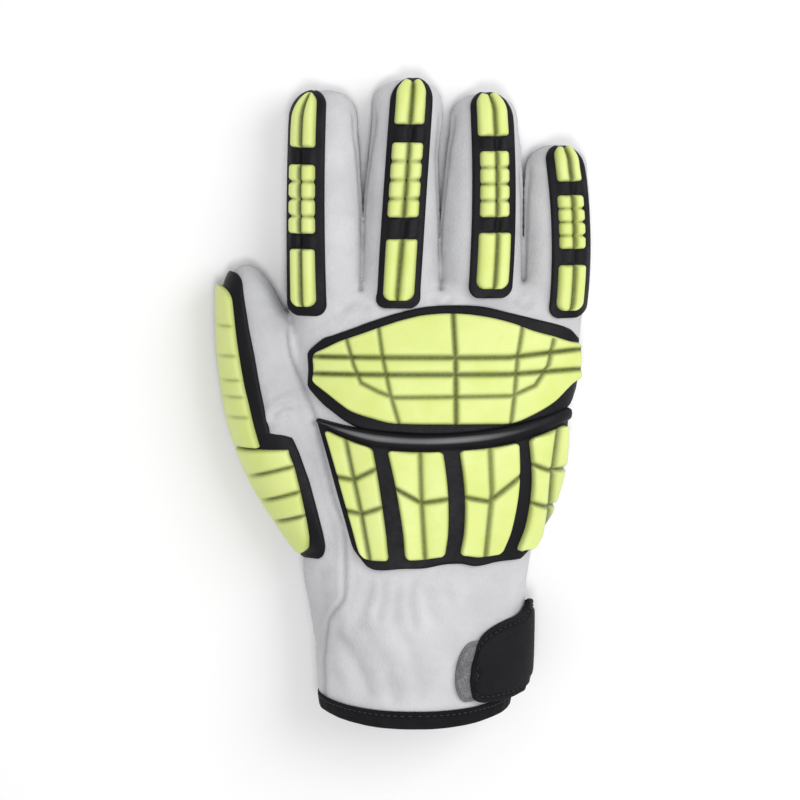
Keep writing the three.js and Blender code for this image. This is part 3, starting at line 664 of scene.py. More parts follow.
class Finishes:
    """All finishes of the glove, each made once."""

    def __init__(self) -> None:
        """Makes every material."""
        self.leather = LeatherFinish().make("leather")
        self.black = RubberFinish((0.0065, 0.0065, 0.0085), (0.010, 0.010, 0.0125), (0.002, 0.002, 0.0025),
                                  0.5, 0.16).make("black_rubber")
        self.yellow = RubberFinish((0.735, 0.815, 0.29), (0.675, 0.765, 0.215), (0.045, 0.062, 0.003), 0.42,
                                   0.4).make("yellow_rubber")
        self.binding = ClothFinish((0.013, 0.013, 0.016), (0.003, 0.003, 0.004), 0.85, 0.0009).make(
            "black_binding")
        self.tab = ClothFinish((0.014, 0.014, 0.018), (0.004, 0.004, 0.005), 0.75, 0.0011).make("black_tab")
        self.loop = ClothFinish((0.27, 0.27, 0.285), (0.10, 0.10, 0.11), 0.95, 0.001, Cloth.LOOPED).make(
            "grey_loop")
        self.thread = RubberFinish((0.03, 0.03, 0.033), (0.02, 0.02, 0.022), (0.01, 0.01, 0.01), 0.7).make(
            "dark_thread")
        self.floor = FloorFinish().make("floor")


# Mesh helpers

def add_object(name: str, bm: BMesh, material: Optional[Material] = None) -> bpy.types.Object:
    """Puts a bmesh in the scene.

    Args:
        name: Name of the object.
        bm: Its mesh, freed afterwards.
        material: Its finish, if it is to be seen.

    Returns:
        The new object.
    """
    mesh = bpy.data.meshes.new(name)
    bm.to_mesh(mesh)
    bm.free()
    made = bpy.data.objects.new(name, mesh)
    bpy.context.scene.collection.objects.link(made)
    if material:
        mesh.materials.append(material)
    return made


def finish_piece(name: str, bm: BMesh, material: Material, slot: Optional[str] = None,
                 replaces: Sequence[str] = ()) -> bpy.types.Object:
    """Turns a bmesh in pattern millimetres into a finished piece of the glove.

    Args:
        name: Name of the piece.
        bm: Its mesh, freed afterwards.
        material: Its finish.
        slot: The record's material slot, if it has one.
        replaces: The CAD nodes that it stands for.

    Returns:
        The new object.
    """
    for vert in bm.verts:
        vert.co = (vert.co + Vector(OFFSET)) * 0.001
    for face in bm.faces:
        face.smooth = True
    piece = add_object(name, bm, material)
    if replaces:
        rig.replaces(piece, *replaces)
    if slot:
        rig.slot(piece, slot)
    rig.ride(piece, BODY)
    log.info("%s: %d vertices, %d faces", name, len(piece.data.vertices), len(piece.data.polygons))
    return piece


def read_rows(items: bpy.types.bpy_prop_collection, key: str, width: int, kind: type = float) -> Array:
    """Reads one property of all vertices or edges of a mesh, a row for each."""
    values = np.empty(len(items) * width, kind)
    items.foreach_get(key, values)
    return values.reshape(-1, width)


@dataclass
class Spots:
    """Everything known about the points of a slab while its heights are worked out."""

    along: Array
    across: Array
    foot: Array
    edge: Array


Place = Callable[[Array, Array], Pair]
Heights = Callable[[Spots], Pair]


class Slab:
    """A closed pad laid over a surface, from a low height up to a worked relief."""

    def __init__(self, along: Array, across: Array, place: Place) -> None:
        """Finds where every station of the pad lies on its surface.

        Args:
            along: Shares along the pad.
            across: Shares across it.
            place: Gives surface points and directions for shares along and across.
        """
        self.rows, self.columns = len(along), len(across)
        s, c = np.meshgrid(along, across, indexing="ij")
        self.foot, self.out = place(s.ravel(), c.ravel())
        down, over = self._way(0), self._way(1)
        edge = np.minimum(np.minimum(down, down[-1:] - down), np.minimum(over, over[:, -1:] - over))
        self.ways = np.stack([down.ravel(), over.ravel()], axis=1)
        self.spots = Spots(s.ravel(), c.ravel(), self.foot, edge.ravel())

    def grid(self, values: Array) -> Array:
        """Lays values out by the pad's stations along and across."""
        return values.reshape(self.rows, self.columns, *values.shape[1:])

    def _way(self, axis: int) -> Array:
        """Measures the way over the surface from one edge of the pad to each point."""
        steps = np.linalg.norm(np.diff(self.grid(self.foot), axis=axis), axis=2)
        zero = np.zeros_like(np.take(steps, [0], axis=axis))
        return np.cumsum(np.concatenate([zero, steps], axis=axis), axis=axis)

    def mesh(self, low: float, height: Heights, edge_low: float, edge_round: float,
             edge_tint: float = 0.0) -> BMesh:
        """Builds the pad's closed mesh, with its shares of painted shade and painted highlight kept on the vertices.

        Args:
            low: Height of the underside.
            height: Gives the height of the top and the share of painted shade, negative for a painted highlight.
            edge_low: Height of the upper edge of the pad's steep side.
            edge_round: Radius over which the top rises from there.
            edge_tint: Share of painted shade at the pad's rounded edge.

        Returns:
            The mesh in pattern millimetres.
        """
        top, groove = height(self.spots)
        # Painted shade along the pad's rounded edge
        if edge_tint:
            groove = np.maximum(groove, edge_tint * (1 - np.clip(self.spots.edge / 1.5, 0, 1)))
        top = edge_low + (top - edge_low) * half_round(1 - np.clip(self.spots.edge / edge_round, 0, 1))
        bm = bmesh.new()
        bmesh.ops.create_grid(bm, x_segments=self.columns - 1, y_segments=self.rows - 1, size=0.5)
        bmesh.ops.solidify(bm, geom=bm.faces[:], thickness=1.0)
        store = bm.verts.layers.float.new("groove")
        uv = bm.loops.layers.uv.new("UVMap")
        upper, lower = (self.foot + self.out * level for level in (top[:, None], low))
        for face in bm.faces:
            for loop in face.loops:
                loop[uv].uv = self.ways[self._index(loop.vert)] * 0.001
        for vert in bm.verts:
            index, raised = self._index(vert), vert.co.z > -0.5
            vert.co = Vector((upper if raised else lower)[index])
            vert[store] = float(groove[index]) if raised else 1.0
        bmesh.ops.recalc_face_normals(bm, faces=bm.faces[:])
        return bm

    def _index(self, vert: bmesh.types.BMVert) -> int:
        """Finds which station of the pad a vertex of the flat grid stands for."""
        return (round((vert.co.y + 0.5) * (self.rows - 1)) * self.columns
                + round((vert.co.x + 0.5) * (self.columns - 1)))


# Leather

@dataclass(frozen=True)
class Fold:
    """A crease or ridge drawn on the leather as a line in plan."""

    line: tuple[Two, ...]
    depth: float
    width: float


@dataclass
class LeatherShell:
    """The glove's leather: one skin over hand, thumb and fingers, cut into its panels and given a wall."""

    gathers: tuple[Fold, ...] = (
        Fold(((-27.6, 56), (-28.6, 51), (-31, 45), (-34, 39)), 0.38, 1.9),
        Fold(((-22.4, 57), (-22.6, 51), (-24.5, 44)), 0.4, 1.7),
        Fold(((-16.5, 55), (-17.6, 50), (-17.8, 43)), 0.32, 1.9),
        Fold(((-11.2, 56), (-11.6, 50), (-10.4, 41)), 0.42, 1.8),
        Fold(((-5.4, 54), (-4.2, 49), (-2.2, 44)), 0.34, 2.0),
        Fold(((2.5, 56), (4.5, 51)), 0.22, 2.0),
    )
    wrinkles: tuple[Fold, ...] = (
        Fold(((-67.1, 124.6), (-64.3, 127.5), (-60.3, 128.6)), 0.8, 1.2),
        Fold(((-68.8, 119.6), (-65.4, 122.4), (-61.5, 123.5)), 0.5, 1.3),
        Fold(((-66.5, 133), (-62.5, 135.2), (-58.5, 135.8)), 0.35, 1.4),
        Fold(((-60.5, 118), (-57, 112), (-53, 106)), 0.4, 2.2),
        Fold(((-38.5, 167.5), (-34, 170), (-30, 168.5)), 0.4, 1.6),
        Fold(((-2.5, 171), (0.8, 168.6), (4, 170.5)), 0.5, 1.3),
        Fold(((30.5, 170.5), (33.5, 168), (36.5, 170)), 0.4, 1.4),
        Fold(((-40, 36), (-33, 26), (-28, 14)), 0.7, 3.2),
        Fold(((-30, 40), (-22, 27), (-17, 12)), 0.6, 3.6),
        Fold(((-14, 38), (-9, 26), (-6, 14)), 0.4, 3.4),
        Fold(((-47, 60), (-46, 45), (-47, 30)), 0.5, 3.0),
    )
    wrist_seam: Fold = Fold(((-39.4, 82), (-38.2, 74), (-38.0, 61.5), (-38.0, 53.5), (-38.7, 49.8),
                             (-42.2, 45.2), (-44.6, 41.5), (-46.2, 34), (-46.7, 26), (-46.2, 8)), 0.7, 0.85)
    roots: tuple[Fold, ...] = (
        Fold(((-31.4, 211), (-31.4, 190), (-31.7, 175.2)), 0.8, 0.85),
        Fold(((0.8, 188), (0.6, 175.6)), 0.8, 0.85),
        Fold(((34.2, 214), (34.1, 196), (33.9, 178)), 0.8, 0.85),
    )
    palm_creases: tuple[Fold, ...] = (
        Fold(((-52, 118), (-20, 121), (10, 112), (36, 96)), 0.8, 2.0),
        Fold(((-30, 150), (0, 146), (40, 132)), 0.6, 2.0),
    )
    skin: Optional[BVHTree] = None

    def closed_tube(self, bm: BMesh, tube: Tube, start: float) -> None:
        """Adds one closed tube to a mesh, from a grid rolled round it.

        Args:
            bm: The mesh to add to.
            tube: The surface.
            start: Where the tube begins.
        """
        around, end = 72, tube.tip - SHRINK
        straight = np.arange(start, end - tube.dome, 2.5)
        bend = [tube.tip, tube.tip]
        if tube.dome:
            bend = end - tube.dome * (1 - np.sin(np.linspace(0, math.pi / 2, 10)))
        ys = np.concatenate([[start], straight, bend])
        scale = np.ones(len(ys))
        scale[[0] if tube.dome else [0, -1]] = 0
        made = bmesh.ops.create_grid(bm, x_segments=around, y_segments=len(ys) - 1, size=0.5)["verts"]
        row = np.array([round((v.co.y + 0.5) * (len(ys) - 1)) for v in made])
        turn = np.array([round((v.co.x + 0.5) * around) % around / around for v in made]) * TURN
        centre, _, middle, _, _ = tube.sizes(ys[row], SHRINK)
        hub = np.stack([centre, ys[row], np.maximum(middle, REST)], axis=1)
        points = hub + (tube.point(ys[row], turn, SHRINK) - hub) * scale[row][:, None]
        for vert, point in zip(made, points):
            vert.co = Vector(point)
        bmesh.ops.remove_doubles(bm, verts=made, dist=1e-4)

    def remeshed(self) -> bpy.types.Mesh:
        """Joins the tubes into one even skin of small squares.

        Returns:
            The skin's mesh in pattern millimetres.
        """
        bm = bmesh.new()
        self.closed_tube(bm, Tube(HAND_ROWS, rest=REST), -9.0)
        self.closed_tube(bm, THUMB, THUMB.start)
        for finger in FINGERS:
            self.closed_tube(bm, finger.tube(), finger.tube().start)
        bmesh.ops.recalc_face_normals(bm, faces=bm.faces[:])
        blank = add_object("skin_blank", bm)
        remesh = blank.modifiers.new("remesh", "REMESH")
        remesh.mode = "VOXEL"
        remesh.voxel_size = VOXEL
        graph = bpy.context.evaluated_depsgraph_get()
        skin = bpy.data.meshes.new_from_object(blank.evaluated_get(graph))
        bpy.data.objects.remove(blank)
        return skin

    @staticmethod
    def smoothed(verts: Array, edges: Array, share: Array | float, rounds: int, back: float = 0.0) -> Array:
        """Relaxes vertices towards their neighbours.

        Args:
            verts: Vertex places.
            edges: Pairs of neighbours.
            share: How strongly each vertex follows.
            rounds: Number of passes.
            back: Share of each pass that is undone, which keeps the volume.

        Returns:
            The new places.
        """
        count = np.bincount(edges.ravel(), minlength=len(verts))[:, None]
        one, two = edges.T

        def pull(points: Array) -> Array:
            """Gives the way from each point to the middle of its neighbours."""
            total = np.stack([np.bincount(one, points[two, k], len(points))
                              + np.bincount(two, points[one, k], len(points)) for k in range(3)], axis=1)
            return total / np.maximum(count, 1) - points

        for _ in range(rounds):
            verts = verts + pull(verts) * 0.5 * share
            if back:
                verts = verts - pull(verts) * back * share
        return verts

    def relief(self, p: Array) -> Pair:
        """Works out seams, folds, wrinkles, unevenness and painted shade.

        Args:
            p: Places of the smooth skin.

        Returns:
            The height of the relief and the share of painted shade, for each vertex.
        """
        x, y, z = p.T
        height, tint = np.zeros(len(p)), np.zeros(len(p))
        upper, lower = ramp(z, 14, 8), fall(z, 10, 6)  # shares of the back and of the palm

        def seam(distance: Array, share: Array, depth: float = 0.7, shade: float = 0.85) -> None:
            """Draws a puckered seam between two rounded ridges, with painted shade along it."""
            pucker = 0.12 * np.sin(y * TURN / 3.4) * bell(distance, 3.0)
            ridge = 0.28 * bell(np.abs(distance) - 2.3, 1.1)
            height[:] += share * (ridge + pucker - depth * bell(distance, 0.85))
            tint[:] = np.maximum(tint, share * shade * bell(distance, 0.75))

        seam(z - SIDE_SEAM.line(y), ramp(y, 2, 5))
        # The thumb's seam leans, so its distance is taken square to it, and its leather lies in more shade
        edge = THUMB_SEAM.line(y)
        stations = np.linspace(56, 190, 300)
        lean = np.interp(y, stations, np.gradient(THUMB_SEAM.line(stations), 134 / 299))
        seam((x - edge) / np.sqrt(1 + lean ** 2), ramp(y, 78, 5) * fall(y, 161, 5), 0.65, 0.5)
        # Painted shade darkens the thumb's leather as a whole, through the crease share
        thumb = fall(x, edge, 4) * ramp(y, 72, 12) * (x < -30) * (y < 190)
        tint[:] = np.maximum(tint, 0.17 * thumb)
        for one, two, far in STRIPS:
            between = (x > one.tube().sizes(y)[0]) & (x < two.tube().sizes(y)[0]) & (y > STRIP_START - 3)
            for level in STRIP_LEVELS:
                seam(z - level, between * fall(y, far + 2, 4) * 0.45)
        # The seam up the wrist is a groove between two low ridges, with painted shade along it
        away = away_from_lines(x, y, [self.wrist_seam.line])
        share = upper * ramp(y, 5, 4) * fall(y, 82, 5)
        groove = self.wrist_seam.depth * bell(away, self.wrist_seam.width)
        height += share * (0.3 * bell(away - 2.2, 1.2) - groove)
        tint[:] = np.maximum(tint, share * 0.42 * bell(away, 0.9))
        # Gathers and wrinkles get painted shade along their hollows
        for fold in (*self.gathers, *self.wrinkles):
            away = away_from_lines(x, y, [fold.line])
            ridge = 0.75 * bell(away - 2.2 * fold.width, fold.width * 1.2)
            height += upper * fold.depth * (ridge - bell(away, fold.width))
            tint[:] = np.maximum(tint, upper * 0.3 * fold.depth * bell(away, fold.width * 0.7))
        # Each line between two fingers ends in a small pit, and both get painted shade
        for fold in self.roots:
            away = away_from_lines(x, y, [fold.line])
            end = np.hypot(x - fold.line[-1][0], y - fold.line[-1][1])
            height -= upper * fold.depth * np.maximum(bell(away, fold.width), bell(end, 1.3))
            tint[:] = np.maximum(tint, upper * np.maximum(0.85 * bell(away, fold.width), bell(end, 1.1)))
        for fold in self.palm_creases:
            height -= lower * fold.depth * bell(away_from_lines(x, y, [fold.line]), fold.width)
        # Unevenness of three sizes, stronger on the bare cuff, and less where the sole is pressed flat
        soft = np.array([[noise.noise(Vector(q) * 0.035),
                          noise.noise(Vector((q[0], q[1] * 0.6, q[2])) * 0.11),
                          noise.noise(Vector(q) * 0.24)] for q in p])
        bare = fall(y, 66, 8)
        height += soft[:, 0] * (0.5 + 0.9 * bare) + soft[:, 1] * (0.25 + 0.3 * bare) + soft[:, 2] * 0.12
        flat = np.clip((z - 2.2) / 2.0, 0.25, 1)
        return height * ramp(y, 5.5, 9) * flat, np.clip(tint, 0, 1) * ramp(y, 5, 4)

    def skin_mesh(self) -> BMesh:
        """Makes the whole relief skin, and keeps its smooth form for the guards to sit on.

        Returns:
            The skin in pattern millimetres, still closed at the hem end.
        """
        mesh = self.remeshed()
        verts, edges = read_rows(mesh.vertices, "co", 3), read_rows(mesh.edges, "vertices", 2, int)
        verts = self.smoothed(verts, edges, 1, rounds=5, back=0.52)
        x, y, _ = verts.T
        # The fingers' roots and the fold beside the thumb are rounded more than the rest
        root = bell(y - 175, 8) * ((x > -50) & (x < 50))
        web = bell(x - THUMB_SEAM.line(y) + 1, 6) * ramp(y, 58, 8) * fall(y, 160, 6)
        verts = self.smoothed(verts, edges, np.clip(root + web, 0, 1)[:, None], rounds=22)
        verts = self.smoothed(verts, edges, 1, rounds=3, back=0.52)
        mesh.vertices.foreach_set("co", verts.ravel())
        mesh.update()
        out = read_rows(mesh.vertices, "normal", 3)
        verts = verts + out * SHRINK
        mesh.vertices.foreach_set("co", verts.ravel())
        mesh.update()
        bm = bmesh.new()
        bm.from_mesh(mesh)
        self.skin = BVHTree.FromBMesh(bm)
        height, tint = self.relief(verts)
        verts = verts + out * height[:, None]
        verts[:, 2] = np.maximum(verts[:, 2], REST - 0.1)
        # The share of painted shade is kept under the name crease
        store = bm.verts.layers.float.new("crease")
        for vert, place, share in zip(bm.verts, verts, tint):
            vert.co = Vector(place)
            vert[store] = share
        bpy.data.meshes.remove(mesh)
        return bm

    @staticmethod
    def cut(bm: BMesh, warp: Callable[[Array], Array], axis: int, where: Callable[[Vector], bool],
            clear: bool = False) -> None:
        """Cuts the skin along a curved surface, which a shift along one axis makes flat.

        Args:
            bm: The skin.
            warp: Gives, for all points, the place of the cut along the axis.
            axis: 0, 1 or 2 for x, y or z.
            where: Whether a face with this centre is cut.
            clear: Whether what lies below the cut is taken away.
        """
        faces = [face for face in bm.faces if where(face.calc_center_median())]
        edges = {edge for face in faces for edge in face.edges}
        verts = {vert for face in faces for vert in face.verts}

        def shift(sign: int) -> None:
            """Moves all points by the warp along the axis."""
            places = np.array([v.co for v in bm.verts])
            places[:, axis] += sign * warp(places)
            for vert, place in zip(bm.verts, places):
                vert.co = Vector(place)

        shift(-1)
        normal = [float(k == axis) for k in range(3)]
        bmesh.ops.bisect_plane(bm, geom=[*verts, *edges, *faces], dist=0.02, plane_co=(0, 0, 0),
                               plane_no=normal, clear_inner=clear)
        shift(1)

    def panels(self, bm: BMesh) -> dict[str, BMesh]:
        """Cuts the skin into its panels.

        Args:
            bm: The whole skin, freed afterwards.

        Returns:
            Each panel's mesh by its name.
        """
        def hem(p: Array) -> Array:
            """Height of the hem line in y."""
            centre, half = -10.0, 37.4
            return HEM_RISE * np.clip(np.abs(p[:, 0] - centre) / half, 0, 1) ** SECTION_POWER

        self.cut(bm, hem, 1, lambda c: c.y < 20, clear=True)
        self.cut(bm, lambda p: SIDE_SEAM.line(p[:, 1]), 2, lambda c: True)
        self.cut(bm, lambda p: THUMB_SEAM.line(p[:, 1]), 0, lambda c: c.y > 54 and c.x < -25)
        self.cut(bm, lambda p: THUMB_FOOT.line(p[:, 0]), 1, lambda c: c.y < 75 and c.x < -30)
        gaps = []
        for one, two, far in STRIPS:
            left, right = (finger.tube().track.at(200)[0, :2].sum() / 2 for finger in (one, two))
            gaps.append((f"fourchette_{one.name}_{two.name}", left, right, far))
            for axis, places in ((2, STRIP_LEVELS), (1, (STRIP_START, far))):
                for place in places:
                    self.cut(bm, lambda p: np.full(len(p), place), axis,
                             lambda c: left < c.x < right and c.y > STRIP_START - 8)

        x, y, z = np.array([face.calc_center_median() for face in bm.faces]).T
        back = z > SIDE_SEAM.line(y)
        thumb = (x < THUMB_SEAM.line(y)) & (y > THUMB_FOOT.line(x)) & (y < 190) & (x < -30)
        names = ["back_leather", "palm_leather", "thumb_back", "thumb_front", *[gap[0] for gap in gaps]]
        kind = np.where(back, 0, 1) + 2 * thumb
        for i, (_, left, right, far) in enumerate(gaps):
            strip = (x > left) & (x < right) & (y > STRIP_START) & (y < far)
            strip &= (z > STRIP_LEVELS[0]) & (z < STRIP_LEVELS[1])
            kind = np.where(strip, 4 + i, kind)
        panels = {}
        for k, name in enumerate(names):
            panels[name] = part = bm.copy()
            part.faces.ensure_lookup_table()
            bmesh.ops.delete(part, geom=[part.faces[i] for i in np.nonzero(kind != k)[0]], context="FACES")
            for edge in part.edges:
                edge.smooth = not edge.is_boundary
        bm.free()
        return panels

    def build(self, finishes: Finishes) -> None:
        """Makes all leather panels."""
        for name, part in self.panels(self.skin_mesh()).items():
            wall = finish_piece(f"{name}_panel", part, finishes.leather, "leather", [name]).modifiers.new(
                "wall", "SOLIDIFY")
            wall.thickness = WALL * 0.001
            wall.offset = -1

    def onto_skin(self, points: Array, out: Array, reach: float = 14.0, depth: float = 5.0) -> Array:
        """Moves points along their directions onto the smooth skin.

        Args:
            points: Places near the skin.
            out: Outward directions.
            reach: How far out the search begins.
            depth: How far behind the points it ends.

        Returns:
            The places on the skin, or the points themselves where there is none on the way.
        """
        landed = points.copy()
        for i, (point, way) in enumerate(zip(points, out)):
            hit = self.skin.ray_cast(Vector(point + way * reach), Vector(-way), reach + depth)[0]
            if hit is not None:
                landed[i] = hit
        return landed

    def seat(self, tube: Tube, y: Array, angle: Array, reach: float = 14.0) -> Pair:
        """Finds the places on the skin, and their outward directions, for places on a tube."""
        out = tube.normal(y, angle)
        return self.onto_skin(tube.point(y, angle), out, reach), out


# Guards

def flat_base(p: Spots) -> Pair:
    """Gives a base one even height."""
    return np.full(len(p.along), BASE_HIGH), np.zeros(len(p.along))


@dataclass
class Guard:
    """A moulded guard on the leather: a black base and yellow blocks."""

    shell: LeatherShell
    finishes: Finishes

    def add_base(self, name: str, node: str, slab: Slab, height: Heights = flat_base,
                 edge_round: float = 1.1) -> None:
        """Makes the black base from a slab."""
        bm = slab.mesh(BASE_LOW, height, BASE_EDGE, edge_round)
        finish_piece(name, bm, self.finishes.black, "black_rubber", [node])

    def add_block(self, name: str, node: str, slab: Slab, height: Heights, edge_low: float = 2.4,
                  edge_round: float = 1.4, edge_tint: float = 0.3) -> None:
        """Makes a yellow block from a slab."""
        bm = slab.mesh(BLOCK_LOW, height, edge_low, edge_round, edge_tint)
        finish_piece(name, bm, self.finishes.yellow, "yellow_rubber", [node])


@dataclass
class FingerGuard(Guard):
    """The guard along one finger: a black base and three yellow blocks on it."""

    finger: Finger

    def slab(self, start: float, end: float, rims: Two, foot_corner: float, far_corners: Two, height: float,
             step: float = 0.75, bumps: int = 0) -> Slab:
        """Lays a pad over a stretch of the finger.

        Args:
            start: Share of the guard at which it begins.
            end: Share at which it ends.
            rims: Distances from the guard's left and right sides.
            foot_corner: Radius of the two corners at its foot.
            far_corners: Radii of its left and right corners at the other end.
            height: Height above the leather at which its sides are measured.
            step: Spacing of the stations.
            bumps: Number of bumps that notch its sides.

        Returns:
            The pad.
        """
        f, tube = self.finger, self.finger.tube()
        length = (f.top - f.foot) * (end - start)
        table = (1 - np.cos(np.linspace(0, 1, 160) * math.pi)) / 2
        share = start + (end - start) * table
        table_y = f.foot + (f.top - f.foot) * share
        notch = 0.75 * self.between(table, bumps) if bumps else 0.0
        left_draw, right_draw = (corner_inset(table, length, foot_corner, far) + notch for far in far_corners)
        left = tube.angle_at(through(f.left, share) + rims[0] + left_draw, table_y, height)
        right = tube.angle_at(through(f.right, share) - rims[1] - right_draw, table_y, height)

        def place(s: Array, c: Array) -> Pair:
            """Puts shares of the pad on the finger's skin."""
            low, high = np.interp(s, table, left), np.interp(s, table, right)
            angle = low + (high - low) * c
            y = f.foot + (f.top - f.foot) * (start + (end - start) * s)
            out = tube.normal(y, angle)
            # Over the finger's root the pad isn't raised at a lean, so that its foot keeps its place in plan
            out[:, 1] *= ramp(y, 178, 8)
            out /= np.linalg.norm(out, axis=1, keepdims=True)
            return self.shell.onto_skin(tube.point(y, angle), out, 5.0, 4.5), out

        return Slab(spaced(length, step), spaced(f.width(rims), step), place)

    @staticmethod
    def between(along: Array, bumps: int) -> Array:
        """Rises to 1 between one bump and the next, and stays 0 on the bumps."""
        place = along * bumps
        wave = np.clip(np.abs((place % 1) - 0.5) * 4 - 1, 0, 1) ** 1.8
        return np.where((place < 0.5) | (place > bumps - 0.5), 0, wave)

    def base_height(self, p: Spots) -> Pair:
        """Gives the base's height, with a groove under painted shade and two small squares on each bridge between the
        blocks.
        """
        split = self.finger.split
        h, dark = flat_base(p)
        for low, high in (split[1:3], split[3:5]):
            bridge = np.clip((1 - np.abs(p.along - (low + high) / 2) / ((high - low) / 2)) * 4, 0, 1)
            line = bell((p.across - 0.5) * 16, 0.9) * bridge
            square = np.clip(1 - np.abs(np.abs(p.across - 0.5) - 0.19) / 0.13, 0, 1) * bridge
            h += 0.55 * np.clip(square * 3, 0, 1) - 0.9 * line
            dark = np.maximum(dark, line)
        return h, dark

    def block_height(self, p: Spots, width: float, bumps: int) -> Pair:
        """Gives the heights of two bars or two columns of bumps, and the share of painted shade in their grooves,
        between the bumps and down the bars' sides.
        """
        middle = np.abs(p.across - 0.5) * width
        off = middle / (width / 2) - 0.5
        crown, outer = np.clip(np.abs(off) / 0.5, 0, 1), np.clip(off / 0.5, 0, 1)
        h = BLOCK_HIGH - 1.45 * crown ** 2.2 - 1.0 * bell(middle, 0.9)
        # Painted shade in the middle groove and down the rounded sides of the bars
        dark = np.maximum(bell(middle, 1.0), 0.2 * crown ** 3)
        if bumps:
            wave = self.between(p.along, bumps)
            h -= wave * (1.15 + 0.9 * outer ** 2)
            # Painted shade between the bumps, darkest at the outer side
            dark = np.maximum(dark, wave ** 1.3 * (0.6 + 0.4 * outer))
        return np.maximum(h, 1.75), np.clip(dark, 0, 1)

    def build(self) -> None:
        """Makes the guard's four pieces."""
        f = self.finger
        self.add_base(f"{f.name}_guard_base", f"{f.name}_base",
                      self.slab(0, 1, (0, 0), 5.0, f.base_corners, 1.3), self.base_height)
        for i, (part, bumps, foot_corner, far_corners) in enumerate((
            ("foot", 0, 3.6, (1.3, 1.3)), ("middle", 4, 1.5, (1.5, 1.5)), ("tip", 0, 1.3, f.tip_corners),
        )):
            slab = self.slab(*f.split[2 * i:2 * i + 2], f.rims[i], foot_corner, far_corners, 2.4, 0.5, bumps)
            self.add_block(f"{f.name}_{part}_guard", f"{f.name}_{part}_block", slab,
                           lambda p: self.block_height(p, f.width(f.rims[i]), bumps), edge_low=2.0,
                           edge_round=1.6, edge_tint=0.35)


@dataclass
class KnuckleGuard(Guard):
    """The wide guard over the knuckles, with its net of thin grooves. Outlines are x, far y and near y."""

    base_outline: tuple = (
        (-53.9, 150.3, 135.2), (-47.4, 155.5, 128.8), (-43.4, 156.9, 125.9), (-39.5, 158.3, 123.1),
        (-34.7, 160, 120.6), (-29.9, 161.8, 119.3), (-24, 163.8, 118.5), (-18, 165.6, 118.1),
        (-6.2, 168.2, 117.5), (5.6, 168.9, 117.7), (17.5, 168.3, 118.7), (29.3, 165.7, 120.6),
        (41.2, 162.8, 123.2), (49.6, 160.6, 125.6), (54, 158.8, 127.8), (57.6, 156, 135),
    )
    plate_outline: tuple = (
        (-50.6, 149.6, 137.6), (-45.1, 152.2, 133.6), (-40.6, 154.4, 130.1), (-35.8, 156.1, 126.8),
        (-31, 157.7, 125), (-27, 159.1, 123.9), (-23.1, 160.4, 122.8), (-19.5, 161.5, 122.1),
        (-15.8, 162.6, 121.9), (-6.2, 164.6, 121.7), (6.2, 165.2, 121.7), (18.6, 164, 121.7),
        (29.3, 161.6, 122), (37.2, 158.8, 125), (45.1, 156.6, 129.6), (56.5, 153.6, 138.6),
    )
    deep_lines: tuple = (
        ((-60, 148.3), (27.1, 148.3), (45.1, 150.2), (60, 151.5)),
        ((-60, 141.4), (27.1, 141.6), (45.1, 142.7), (60, 143.3)),
        ((5.1, 168), (6.2, 148.3), (6.4, 118)),
    )
    fine_lines: tuple = (
        ((-25.2, 166), (-24.3, 160.2), (-22.6, 148.3), (-19.7, 134.2), (-15, 118)),
        ((33.2, 165), (32.7, 160.7), (30.5, 148.3), (29.3, 134.2), (27.3, 118)),
        ((-38, 160), (-36.9, 155.9), (-33.8, 144.9), (-31.0, 138.2), (-24.3, 134.8), (-18.0, 132.5),
         (5.1, 132.8), (28.2, 133.1), (37.2, 137.1), (42.3, 144.9), (44.5, 155)),
    )

    def slab(self, outline: Sequence[Three], step: float) -> Slab:
        """Lays a pad over the knuckles between the far and near edges of an outline."""
        track = Track(outline)
        first, length = outline[0][0], outline[-1][0] - outline[0][0]

        def place(s: Array, c: Array) -> Pair:
            """Puts shares of the pad on the back of the hand."""
            x = first + length * s
            far, near = track.at(x).T
            draw = corner_inset(s, length, 1.6, 1.6) * 0.8
            y = near + draw + (far - near - 2 * draw) * c
            return self.shell.seat(HAND, y, HAND.angle_at(x, y, GUARD_MIDDLE))

        return Slab(spaced(length + 14, step), spaced(42, step), place)

    def plate_height(self, p: Spots) -> Pair:
        """Gives the heights of the plate with its grooves, and painted shade in them."""
        deep, fine = (away_from_lines(*p.foot[:, :2].T, lines)
                      for lines in (self.deep_lines, self.fine_lines))
        ends = np.clip(np.minimum(p.along, 1 - p.along) / 0.03, 0.25, 1)
        h = BLOCK_HIGH - 1.6 * ends * bell(deep, 1.0) - 1.25 * bell(fine, 0.85)
        h += 0.15 * np.clip(np.minimum(deep, fine) / 4, 0, 1)
        return np.maximum(h, GROOVE_LOW), np.maximum(bell(deep, 1.05), 0.9 * bell(fine, 0.85))

    def build(self) -> None:
        """Makes the base and the plate."""
        self.add_base("knuckle_guard_base", "knuckle_base", self.slab(self.base_outline, 0.9), edge_round=1.2)
        self.add_block("knuckle_guard_plate", "knuckle_plate", self.slab(self.plate_outline, 0.62),
                       self.plate_height, edge_round=1.3)


